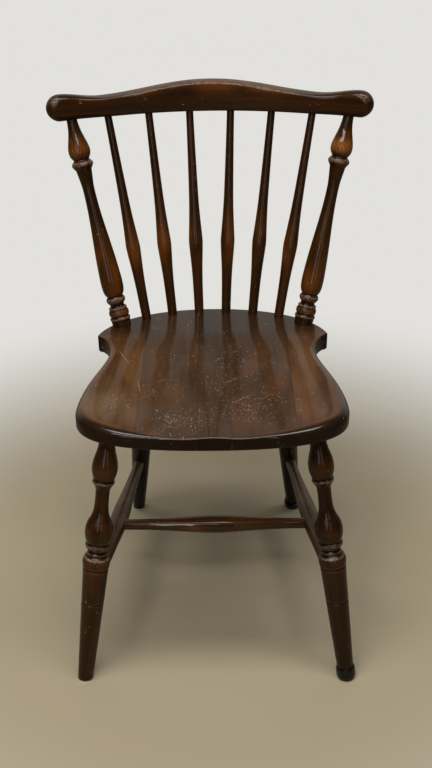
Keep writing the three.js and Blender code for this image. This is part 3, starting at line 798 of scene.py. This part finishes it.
# %% The seat's outline and hollows
SADDLE_DEPTH, POMMEL_HEIGHT, POMMEL_HALF_WIDTH = 10, 4, 30
BOWL_POWER = 1.8  # the higher, the more the hollows draw in from the sides
DECK_DEPTH, SADDLE_RUN = 86, 95
OUTLINE_STEPS = 44  # points on each run of the outline
seat_outline_shares = [
    [(0, 0.5), (0.52, 0.5), (0.864, 0.388), (0.932, 0.261)],  # back edge round to the ear
    [(0.932, 0.261), (0.86, 0.24), (0.815, 0.185), (0.82, 0.128)],  # cove under the ear
    [(0.82, 0.128), (0.82, 0.043), (0.995, -0.145), (0.995, -0.303)],  # side, flaring forward
    [(0.995, -0.303), (0.995, -0.457), (0.58, -0.5), (0, -0.5)],  # front corner and front edge
]


def bezier(points, steps):
    """Points along a cubic Bezier curve, without its last one."""
    p0, p1, p2, p3 = points
    curve = []
    for step in range(steps):
        t = step / steps
        s = 1 - t
        curve.append(p0 * s ** 3 + p1 * (3 * s * s * t) + p2 * (3 * s * t * t) + p3 * t ** 3)
    return curve


def smooth(low, high, value):
    """Rises smoothly from 0 at low to 1 at high, or falls where high is the smaller of the two."""
    t = max(0.0, min(1.0, (value - low) / (high - low)))
    return t * t * (3 - 2 * t)


def mirrored(half):
    """Half an outline and its mirror image, which leads back to the first point."""
    return half + [Vector((-p.x, p.y)) for p in reversed(half[1:-1])]


def seat_outline():
    """The outline, counter-clockwise from above."""
    half = []
    for run in seat_outline_shares:
        corners = [Vector((x * SEAT_HALF_WIDTH, y * SEAT_DEPTH)) for x, y in run]
        half += bezier(corners, OUTLINE_STEPS)
    half.append(Vector((0, -SEAT_DEPTH / 2)))
    return mirrored(half)[::-1]


def saddle(x, y):
    """Depth of the hollows below the deck."""
    bowl = max(0.0, 1 - (x / SEAT_HALF_WIDTH) ** 2) ** BOWL_POWER
    deck_end = SEAT_DEPTH / 2 - DECK_DEPTH
    start = 1 - smooth(deck_end - SADDLE_RUN, deck_end, y)
    ridge = math.exp(-((x / POMMEL_HALF_WIDTH) ** 2)) * (1 - smooth(-SEAT_DEPTH / 2, 0, y))
    return (SADDLE_DEPTH * bowl - POMMEL_HEIGHT * ridge) * start


seat_line = seat_outline()
print("seat outline:", len(seat_line), "points; a hollow is", round(saddle(60, -40), 1), "mm deep")

# %% [markdown]
# The top edge is rolled over with a moulding tool and then by wear. The roll is widest at the front
# corners, narrower along the sides, tight in the middle of the front and only eased round the deck.
# The edge counts as low, which paints it dark as shade, and that painted shade fades out up the
# roll. At the front corners it ends at a crisp line instead, a painted shade for the dark that the
# roll mirrors there.

# %% The roll of the seat's edge
RIM_ROLL, RIM_DROP, DECK_EASE, UNDERSIDE_EASE = 15, 8, 3, 6
FRONT_ROLL, CORNER_ROLL = 5, 25  # width of the roll in the middle of the front and at its corners
WIDENS, NARROWS = (-150, -20), (60, 165)  # where it does so, along a side and along the front
CORNER_SIDE, CORNER_FRONT = (30, 110), (-155, -105)  # where the dark edge turns into a corner's
PAINTED_EDGE_SHADE = 0.8  # how low the edge counts where its painted shade is darkest
EASED, EASED_BY = (0, 20), 0.18  # degrees up a corner's roll where it gets less dark, and how much
ENDS = (52, 70)  # degrees up a corner's roll where it ends


def rim_width(point):
    waist, ear = (seat_outline_shares[run][0][1] * SEAT_DEPTH for run in (2, 1))
    corner = RIM_ROLL + (CORNER_ROLL - RIM_ROLL) * (1 - smooth(*WIDENS, point.y))
    in_front = 1 - smooth(*NARROWS, abs(point.x)) if point.y < waist else 0
    side = corner + (FRONT_ROLL - corner) * in_front
    return side + (DECK_EASE - side) * smooth(waist, ear, point.y)


def inward_normals(line):
    normals = []
    for i in range(len(line)):
        along = line[(i + 1) % len(line)] - line[i - 1]
        normals.append(Vector((-along.y, along.x)).normalized())
    return normals


def edge_shade_at(turn, corner):
    """How low the edge counts at an angle up its roll, which sets its painted shade, where corner
    is 1 at a front corner.
    """
    up = math.degrees(turn)
    fading = math.cos(turn) ** 2
    lined = (1 - EASED_BY * smooth(*EASED, up)) * (1 - smooth(*ENDS, up))
    return PAINTED_EDGE_SHADE * (fading + (lined - fading) * corner)


widths = [rim_width(point) for point in seat_line]
print("the roll is", round(min(widths), 1), "to", round(max(widths), 1), "mm wide")

# %% The seat's surface as rings
ROLL_STEPS, INNER_RINGS = 9, 30


def seat_rings():
    """Rings of (point, proud) from the flat underside, up the edge and in to the middle."""
    normals = inward_normals(seat_line)
    rings = []
    for step in range(ROLL_STEPS):
        turn = step / ROLL_STEPS * math.pi / 2
        inset = UNDERSIDE_EASE * (1 - math.sin(turn))
        rise = Vector((0, 0, UNDERSIDE_EASE * (1 - math.cos(turn)) - SEAT_THICKNESS))
        # the underside and its ease carry the full painted shade of the edge
        rings.append([((p + n * inset).to_3d() + rise, -PAINTED_EDGE_SHADE)
                      for p, n in zip(seat_line, normals)])
    for step in range(ROLL_STEPS + 1):
        turn = step / ROLL_STEPS * math.pi / 2
        ring = []
        for p, n in zip(seat_line, normals):
            width = rim_width(p)
            place = p + n * width * (1 - math.cos(turn))
            drop = width * RIM_DROP / RIM_ROLL * (1 - math.sin(turn))
            rubbed = math.sin(2 * turn) * min(1.0, DECK_EASE / width)
            corner = smooth(*CORNER_SIDE, abs(p.x)) * (1 - smooth(*CORNER_FRONT, p.y))
            # wear rubbed on the rim, less the painted shade of the edge
            stands = rubbed * (1 - corner) - edge_shade_at(turn, corner)
            ring.append((Vector((place.x, place.y, -saddle(place.x, place.y) - drop)), stands))
        rings.append(ring)
    rim = [point for point, _ in rings[-1]]
    for step in range(1, INNER_RINGS):
        share = 1 - step / INNER_RINGS
        shrunk = [(p.x * share, p.y * share) for p in rim]
        rings.append([(Vector((x, y, -saddle(x, y))), 0.0) for x, y in shrunk])
    return rings


surface_rings = seat_rings()
print(len(surface_rings), "rings of", len(surface_rings[0]), "points")

# %% Build the whole seat
IN_FRONT, ON_DECK = 0.9, 0.1  # how full the wood counts, which makes the front glow and lays a painted shade on the deck
DECK_FRONT = (25, 140)  # where it gets darker


def seat_mesh():
    rings = []
    for flat_ring in [*surface_rings, [(Vector((0, 0, -saddle(0, 0))), 0.0)]]:
        ring = []
        for point, stands in flat_ring:
            place = point + Vector((0, SEAT_SHIFT, SEAT_HEIGHT))
            fullness = IN_FRONT + (ON_DECK - IN_FRONT) * smooth(*DECK_FRONT, point.y)
            ring.append((place, point.xzy, stands, fullness))
        rings.append(ring)
    bm, rows = skinned(rings)
    bm.faces.new(rows[0][::-1])
    return bm


whole_seat = seat_mesh()
print("whole seat:", len(whole_seat.faces), "faces")

# %% [markdown]
# ## Finish of the seat boards
# Each board took the stain in its own way: the middle one is darkest and the outer ones are the
# palest, but towards the deck a painted shade darkens those two the most. The seat has been sat on
# for years, so its lacquer has gone thin in the hollows and mirrors less there than on the deck and
# the rim. Wear lies where people sit and slide and not everywhere, so each worn place is a soft
# round mask: dense clusters of fine pale flecks near the front, a hazy patch at the left corner
# that is scuffed lacquer and partly a painted reflection, and the thin lacquer itself. A few
# scratches are drawn where the real ones run. The end grain of the edge has soaked its lacquer up,
# so it is nearly dull, and its dark colour is a painted shade.

# %% The boards' stains
SEAM_PLACES = [-112.5, -23.6, 28.5, 124.5]
board_stains = [
    {"deep": "#452a12", "body": "#513418", "glow": "#60401f"},
    {"deep": "#3a2413", "body": "#442b18", "glow": "#51351c"},
    {"deep": "#33200f", "body": "#3c2713", "glow": "#452e19"},
    {"deep": "#352110", "body": "#402814", "glow": "#523319"},
    {"deep": "#452c1a", "body": "#543620", "glow": "#624127"},
]
OUTER_BOARDS = (1, 5)  # they got the most stain on the deck
seams = [-SEAT_HALF_WIDTH, *SEAM_PLACES, SEAT_HALF_WIDTH]
print("boards:", [round(b - a, 1) for a, b in zip(seams, seams[1:])], "mm wide")

# %% Soft round places on the seat
# Each has its middle in millimetres from the middle of the seat, its radius and its strength
fleck_places = [
    ((-56, -150), 38, 0.45), ((-96, -76), 34, 0.2), ((22, -62), 44, 0.16), ((48, -122), 60, 0.2),
    ((88, -96), 36, 0.26), ((-30, -150), 60, 0.16), ((0, -20), 150, 0.04), ((-146, -106), 44, 0.13),
]
# the hazy patch: scuffed lacquer, and partly a painted reflection
scuffed_haze_and_sheen_places = [((-158, -112), 64, 0.16), ((-104, -138), 48, 0.1)]
sat_places = [((0, -70), 200, 1.0), ((-85, -90), 130, 1.0), ((85, -90), 130, 1.0)]


def worn_places(tree, place, spots):
    """A mask that is strongest in the middle of each spot and fades out at its radius."""
    share = 0.0
    for (x, y), radius, most in spots:
        middle = Vector((x, y + SEAT_SHIFT, SEAT_HEIGHT)) * MM
        away = add(tree, "VectorMath", DISTANCE, {
            "Vector": place, "Vector_001": middle}, out="Value")
        near = add(tree, "MapRange", SMOOTH_STEP, {
            "Value": away, "From Min": radius * MM, "From Max": 0.0, "To Max": most})
        share = add(tree, "Math", MAXIMUM, {"Value": share, "Value_001": near})
    return share


print(len(fleck_places), "clusters of flecks")

# %% Flecks
# From one to the next across and along them. Real ones are half as wide, and wouldn't show.
FLECK_WIDTH, FLECK_LENGTH = 1.6, 2.6
FLECK_TURN = 0.6  # how they are turned on the seat, in radians
FLECK_REACH = (0.42, 0.18)  # edge and core of a fleck, as shares of that spacing


def flecks(tree, place, share):
    """Small stretched specks of random strength. share says how many of them show at a point."""
    scale = (1 / (FLECK_WIDTH * MM), 1 / (FLECK_LENGTH * MM), 1)
    laid = add(tree, "Mapping", {}, {
        "Vector": place, "Rotation": (0, 0, FLECK_TURN), "Scale": scale})
    away = add(tree, "TexVoronoi", {"voronoi_dimensions": "2D"}, {
        "Vector": laid, "Scale": 1.0}, out="Distance")
    luck = add(tree, "SeparateColor", {}, {"Color": away.node.outputs["Color"]}).node.outputs
    shown = add(tree, "Math", LESS_THAN, {"Value": luck["Red"], "Value_001": share})
    depth = add(tree, "Math", MULTIPLY, {"Value": luck["Green"], "Value_001": shown})
    edge, core = FLECK_REACH
    spot = add(tree, "MapRange", {}, {
        "Value": away, "From Min": edge, "From Max": core, "To Max": 1.0})
    return add(tree, "Math", MULTIPLY, {"Value": spot, "Value_001": depth})


print("a fleck is about", round(2 * FLECK_REACH[0] * FLECK_WIDTH, 1), "mm wide")

# %% Scratches
SCRATCH_WIDTH = 0.9  # real ones are half as wide, and wouldn't show
SCRATCH_CORE, SCRATCH_MOST = 0.6, 0.5  # share of the width that is bare, and how bare it is
ANY_HEIGHT = 1e6  # so tall a scale that height makes no difference
scratches = [((-157, 63), (-129, 4)), ((-117, -38), (-110, -78)), ((-88, -42), (-70, -30)),
             ((14, -46), (44, -22)), ((30, -104), (62, -78)), ((-62, -186), (-58, -200))]


def scratch_lines(tree, place):
    """A mask of straight scratches, each a long thin ellipse about its middle."""
    line = 0.0
    for ends in scratches:
        start, end = (Vector((x, y + SEAT_SHIFT, 0)) * MM for x, y in ends)
        run = end - start
        turned_to = add(tree, "Mapping", {"vector_type": "TEXTURE"}, {
            "Vector": place, "Location": (start + end) / 2,
            "Rotation": (0, 0, math.atan2(run.y, run.x)),
            "Scale": (run.length / 2, SCRATCH_WIDTH * MM / 2, ANY_HEIGHT)})
        off = add(tree, "VectorMath", LENGTH, {"Vector": turned_to}, out="Value")
        near = add(tree, "MapRange", {}, {
            "Value": off, "From Min": 1.0, "From Max": SCRATCH_CORE, "To Max": SCRATCH_MOST})
        line = add(tree, "Math", MAXIMUM, {"Value": line, "Value_001": near})
    return line


print(len(scratches), "scratches")

# %% The finish of each board
SEAT_LACQUER, THIN_LACQUER = 0.55, 0.16  # where nobody sits, and where people do
SOAKED_LACQUER = 0.25  # share of the lacquer left on the end grain
SOAKED_UP_TO = -0.72  # how proud an edge is that has kept all of it
DECK_COVER, OUTER_DECK_COVER = 0.4, 0.85  # how strong the painted shade of the deck gets
# On the boards the groove mask and the pore tone mostly paint the shade of the edge and the deck.
board_covers = {"streak": 0.2, "groove_and_edge_shade": 0.9, "edge": 0.45}
board_wear = {
    "pore_and_shade": "#150b04", "worn": "#9a8670", "bare": "#c4b198", "lacquer": SEAT_LACQUER, "haze": 0.075}


def worn_board(number, tones):
    """The common stain in the tones of one board, with haze, flecks and scratches over it."""
    stain = tones | board_wear
    deck = OUTER_DECK_COVER if number in OUTER_BOARDS else DECK_COVER
    material = stained_wood(
        f"seat_board_{number}_walnut_stain", stain, board_covers | {"waist": deck})
    tree = material.node_tree
    shader = next(node for node in tree.nodes if node.type == "BSDF_PRINCIPLED")
    place = add(tree, "TexCoord", out="Object")
    specks = flecks(tree, place, worn_places(tree, place, fleck_places))
    scuffs = add(tree, "Math", MAXIMUM, {"Value": specks, "Value_001": scratch_lines(tree, place)})
    colour = shader.inputs["Base Color"].links[0].from_socket
    for mask, tone in ((worn_places(tree, place, scuffed_haze_and_sheen_places), "worn"), (scuffs, "bare")):
        colour = add(tree, "Mix", BLEND, {
            "Factor_Float": mask, "A_Color": colour, "B_Color": linear(stain[tone])})
    tree.links.new(colour, shader.inputs["Base Color"])
    lacquer = add(tree, "MapRange", {}, {
        "Value": worn_places(tree, place, sat_places),
        "To Min": SEAT_LACQUER, "To Max": THIN_LACQUER})
    stands = add(tree, "Attribute", {"attribute_name": "proud"}, out="Fac")
    soaked = add(tree, "MapRange", SMOOTH_STEP, {
        "Value": stands, "From Min": -PAINTED_EDGE_SHADE, "From Max": SOAKED_UP_TO,
        "To Min": SOAKED_LACQUER})
    lacquer = add(tree, "Math", MULTIPLY, {"Value": lacquer, "Value_001": soaked})
    tree.links.new(lacquer, shader.inputs["Coat Weight"])
    return material


board_finishes = [worn_board(i + 1, tones) for i, tones in enumerate(board_stains)]
print(len(board_finishes), "board finishes")

# %% [markdown]
# The whole seat is copied for each board and sawn just inside its two glue lines, so that they show
# as fine dark lines. Each board is moved on in the timber, because neighbours in a glued seat come
# from different planks.

# %% Saw the seat into its boards
GLUE_LINE = 0.1  # half the width of the line between two boards
SAWN_EDGE = 50  # degrees; only sawn edges are crisp on wood that is rounded over
edges = [-SEAT_HALF_WIDTH - TUCK, *SEAM_PLACES, SEAT_HALF_WIDTH + TUCK]

for number, (low, high) in enumerate(zip(edges, edges[1:]), 1):
    board = whole_seat.copy()
    saw(board, Vector((low + GLUE_LINE, 0, 0)), Vector((1, 0, 0)))
    saw(board, Vector((high - GLUE_LINE, 0, 0)), Vector((-1, 0, 0)))
    timber = board.verts.layers.float_vector["timber"]
    for vertex in board.verts:
        vertex[timber] += STICK_STEP * number * MM
    piece = finished(f"shaped_seat_board_{number}", board, board_finishes[number - 1],
                     f"seat_board_{number}", SAWN_EDGE)
    print(piece.name, [round(x / MM, 1) for x in piece.dimensions])
whole_seat.free()

# %% [markdown]
# ## Crest rail
# The rail is sawn to a wavy outline from a thick board, bowed to a large radius, and its edges are
# rounded over. Its ends swell into round ears. The outline is drawn flat, with the distance along
# the bow and the height over the underside, and is then bent round the bow. Before it is bent, each
# point keeps its flat place, so that the grain follows the bow as it does in bent wood. The edges
# are crisp along the hump and fade into the ears, which are rounded over like the end of a broom
# handle.
#
# The rail has the stain of the posts, a shade darker. Hands take it by the hump and by the
# shoulders of the ears, so there its edges show as thin pale lines.

# %% The finish of the rail
rail_stain = turned_stain | {"deep": "#261405", "body": "#391e06", "glow": "#5f340f"}
rail_finish = stained_wood("crest_rail_walnut_stain", rail_stain, {"edge": 0.34})
print(rail_finish.name)

# %% The outline of the rail
CREST_THICKNESS, CREST_RISE, CREST_WAIST, CREST_WAIST_PLACE = 27, 48.2, 31.7, 175
CREST_EAR_RADIUS, CREST_EAR_PLACE = 21.1, 250
# Lengths of the handles of a curve, as shares of the run from the middle to the waist, and of the
# run from there to the ear
HUMP_HANDLES, EAR_HANDLES = (0.39, 0.325), (0.37, 0.3)
CREST_STEPS = 40


def crest_outline():
    """The face of the rail, counter-clockwise from the middle of its underside."""
    ear_run, ear_top = CREST_EAR_PLACE - CREST_WAIST_PLACE, CREST_EAR_RADIUS * 2
    leaves, reaches = (CREST_WAIST_PLACE * share for share in HUMP_HANDLES)
    climbs, arrives = (ear_run * share for share in EAR_HANDLES)
    hump = [(0, CREST_RISE), (leaves, CREST_RISE),
            (CREST_WAIST_PLACE - reaches, CREST_WAIST), (CREST_WAIST_PLACE, CREST_WAIST)]
    up_to_ear = [(CREST_WAIST_PLACE, CREST_WAIST), (CREST_WAIST_PLACE + climbs, CREST_WAIST),
                 (CREST_EAR_PLACE - arrives, ear_top), (CREST_EAR_PLACE, ear_top)]
    upper = []
    for run in (hump, up_to_ear):
        upper += bezier([Vector(p) for p in run], CREST_STEPS)
    for step in range(CREST_STEPS + 1):
        turn = math.pi / 2 * step / CREST_STEPS
        upper.append(Vector((CREST_EAR_PLACE + CREST_EAR_RADIUS * math.sin(turn),
                             CREST_EAR_RADIUS * (1 + math.cos(turn)))))
    lower = []
    for p in upper[:-1]:
        past = max(0.0, p.x - CREST_EAR_PLACE)
        lower.append(Vector((p.x, CREST_EAR_RADIUS - math.sqrt(CREST_EAR_RADIUS ** 2 - past ** 2))))
    return mirrored(lower + upper[::-1])


rail_line = crest_outline()
print("rail outline:", len(rail_line), "points")

# %% Where hands have rubbed the rail
SHOULDER, SHOULDER_REACH = 55, 30  # degrees up from an ear's tip to its rubbed shoulder
EAR_TIP = (-25, 0)  # where the rubbing of an ear begins, from its middle
RUBBED_HUMP = (190, 110)  # where that of the hump begins, from its end to its middle
BELOW_HUMP = 0.3  # how much of it there is on the lower edge


def handled(place):
    """How much hands have rubbed the edge at a point of the rail's face, from 0 to 1."""
    from_ear = Vector((abs(place.x) - CREST_EAR_PLACE, place.y - CREST_EAR_RADIUS))
    turned_up = math.degrees(math.atan2(from_ear.y, from_ear.x))
    on_shoulder = math.exp(-((turned_up - SHOULDER) / SHOULDER_REACH) ** 2)
    upper = 1 if place.y > CREST_EAR_RADIUS else BELOW_HUMP
    return max(on_shoulder * smooth(*EAR_TIP, from_ear.x),
               upper * smooth(*RUBBED_HUMP, abs(place.x)))


print("rubbed in the middle:", handled(Vector((0, CREST_RISE))))

# %% Bend the rail
CREST_EASE, EAR_EASE = 4, 11.5  # rounding of the edges along the rail and at its ears
EASE_GROWS = (150, 235)  # where one turns into the other
EASE_STEPS = 7
DARKENS, DARKER_BY = (100, 230), 0.6  # where the rail gets darker towards the ears, and how much


def crest_mesh():
    normals = inward_normals(rail_line)
    face = CREST_THICKNESS / 2
    turns = [math.pi / 2 * step / EASE_STEPS for step in range(EASE_STEPS + 1)]
    levels = [(turn, 1) for turn in turns] + [(turn, -1) for turn in reversed(turns)]
    rings = []
    for level, way in levels:
        ring = []
        for p, n in zip(rail_line, normals):
            ease = CREST_EASE + (EAR_EASE - CREST_EASE) * smooth(*EASE_GROWS, abs(p.x))
            place = p + n * ease * (1 - math.sin(level))
            depth = way * (face - ease * (1 - math.cos(level)))
            turn = place.x / CREST_RADIUS
            radius = CREST_RADIUS + depth
            y = crest_apex - CREST_RADIUS + radius * math.cos(turn)
            bent = Vector((radius * math.sin(turn), y, CREST_HEIGHT + place.y))
            flat = Vector((place.y, depth, place.x))
            # full rises with the height up the rail and falls towards its ears, where it is darker
            glowing = 1 - DARKER_BY * smooth(*DARKENS, abs(p.x))
            ring.append((bent, flat, math.sin(2 * level) * handled(p),
                         place.y / CREST_RISE * glowing))
        rings.append(ring)
    bm, rows = skinned(rings)
    points = len(rail_line)
    tip = points // 4  # the end of an ear, from which each face is closed in strips
    for row in (rows[0], rows[-1]):
        for k in range(points // 2):
            corners = [row[(tip + step) % points] for step in (-k, -k - 1, k + 1, k)]
            bm.faces.new(list(dict.fromkeys(corners)))
    return bm


rail = finished("bent_crest_rail", crest_mesh(), rail_finish, "crest_rail", SAWN_EDGE)
print(rail.name, len(rail.data.polygons), "faces")

# %% [markdown]
# ## Floor and light
# The chair stands on a plain floor in pale matt paint, which gives the eye one soft tone and no
# shine. For the camera it fades into pale paper, from 0.4 to 1.15 m out. Mirrored rays see it as
# pale as the camera does, because it shows in the lacquer. The light that it throws up comes from a
# greyer tone, for a pale one would wash out the dark stain from below.

# %% The paint of the floor
PAPER = "#e2e1dd"
FLOOR_SEEN, FLOOR_THROWN = "#aa9c80", "#6b614c"  # to the camera and mirrors, and as it throws light
MATT = 0.8  # roughness
FADES = {"From Min": 0.4, "From Max": 1.15, "To Max": 1.0}  # metres from the middle
floor_finish = bpy.data.materials.new("pale_painted_floor")
floor_tree = emptied(floor_finish)
ray = add(floor_tree, "LightPath").node.outputs
seen = ray["Is Camera Ray"]
for mirrored in ("Is Glossy Ray", "Is Transmission Ray"):
    seen = add(floor_tree, "Math", MAXIMUM, {"Value": seen, "Value_001": ray[mirrored]})
tone = add(floor_tree, "Mix", BLEND, {
    "Factor_Float": seen, "A_Color": linear(FLOOR_THROWN), "B_Color": linear(FLOOR_SEEN)})
floor_paint = add(floor_tree, "BsdfPrincipled", {}, {"Base Color": tone, "Roughness": MATT})
across = add(floor_tree, "VectorMath", LENGTH, {
    "Vector": add(floor_tree, "TexCoord", out="Object")}, out="Value")
away = add(floor_tree, "MapRange", SMOOTH_STEP, {"Value": across} | FADES)
paper = add(floor_tree, "Emission", {}, {"Color": linear(PAPER), "Strength": 1.0})
faded = add(floor_tree, "Math", MULTIPLY, {"Value": ray["Is Camera Ray"], "Value_001": away})
floor_look = add(floor_tree, "MixShader", {}, {
    "Fac": faded, "Shader": floor_paint, "Shader_001": paper})
add(floor_tree, "OutputMaterial", {}, {"Surface": floor_look})
print(floor_finish.name, len(floor_tree.nodes), "nodes")

# %% Lay the floor
FLOOR_SIZE = 40
half = FLOOR_SIZE / 2
floor_corners = [(x * half, y * half, 0) for x, y in ((-1, -1), (1, -1), (1, 1), (-1, 1))]
floor_mesh = bpy.data.meshes.new("floor")
floor_mesh.from_pydata(floor_corners, [], [(0, 1, 2, 3)])
floor_mesh.materials.append(floor_finish)
floor = placed("floor", floor_mesh)
print("floor:", FLOOR_SIZE, "m wide")

# %% [markdown]
# Lacquer shows what it reflects, so the light has a shape. The seat's flat top mirrors what stands
# behind the chair, a rolled edge mirrors what hangs over it, and an upright face mirrors the floor
# before it. So a long narrow panel overhead draws the bright lines along every rim, shoulder and
# bead. A long box above the camera lights the faces that look forwards, a tube over it draws the
# line along the stretcher, and two upright strips draw the narrow lines down the posts.

# %% Hang the lamps
SEAT_MIDDLE = (0, 0, SEAT_HEIGHT * MM)
STRIP_AIM = (0, 0, 1.2)  # as high as the strips hang, which keeps them upright


def softbox(name, width, length, radiance, place, target=SEAT_MIDDLE):
    """A rectangular lamp. Its power follows from how bright its face is to look at."""
    lamp = bpy.data.lights.new(name, "AREA")
    lamp.shape = "RECTANGLE"
    lamp.size, lamp.size_y, lamp.energy = width, length, radiance * math.pi * width * length
    box = placed(name, lamp)
    box.location = place
    box.rotation_euler = (Vector(target) - Vector(place)).to_track_quat("-Z", "Y").to_euler()
    box.visible_camera = False
    print(name, round(lamp.energy, 1), "W")


softbox("overhead_panel", 2.4, 0.5, 12, (0, -0.35, 2.9))
softbox("front_box", 1.6, 0.9, 1.6, (-0.7, -2.2, 1.8))
softbox("front_tube", 1.7, 0.18, 18, (-0.45, -1.3, 2.2))
softbox("left_strip", 0.16, 1.3, 9, (-0.6, -2.6, 1.2), STRIP_AIM)
softbox("right_strip", 0.16, 1.3, 5, (0.8, -2.5, 1.2), STRIP_AIM)

# %% [markdown]
# The world lights the rest. It is dim in front and overhead, so that rolled edges and turnings
# mirror something dark beside the lamps, and bright only well behind the chair. There it gives the
# seat its soft sheen with the spindles mirrored in it. The camera sees plain paper in its place.

# %% Light the space round the chair
DAYLIGHT = "#f4f3ef"
# How far backwards a ray points, from -1 to 1, and how bright the world is there
BRIGHT_BEHIND = {"From Min": 0.3, "From Max": 0.72, "To Min": 0.05, "To Max": 0.62}
world = bpy.data.worlds.new("pale_paper_surround")
world_tree = emptied(world)
way = add(world_tree, "TexCoord", out="Generated")
backwards = add(world_tree, "SeparateXYZ", {}, {"Vector": way}, out="Y")
strength = add(world_tree, "MapRange", SMOOTH_STEP, {"Value": backwards} | BRIGHT_BEHIND)
shaped = add(world_tree, "Background", {}, {"Color": linear(DAYLIGHT), "Strength": strength})
plain = add(world_tree, "Background", {}, {"Color": linear(PAPER), "Strength": 1.0})
surround = add(world_tree, "MixShader", {}, {
    "Fac": add(world_tree, "LightPath", out="Is Camera Ray"),
    "Shader": shaped, "Shader_001": plain})
add(world_tree, "OutputWorld", {}, {"Surface": surround})
bpy.context.scene.world = world
bpy.context.scene.view_settings.view_transform = "Standard"
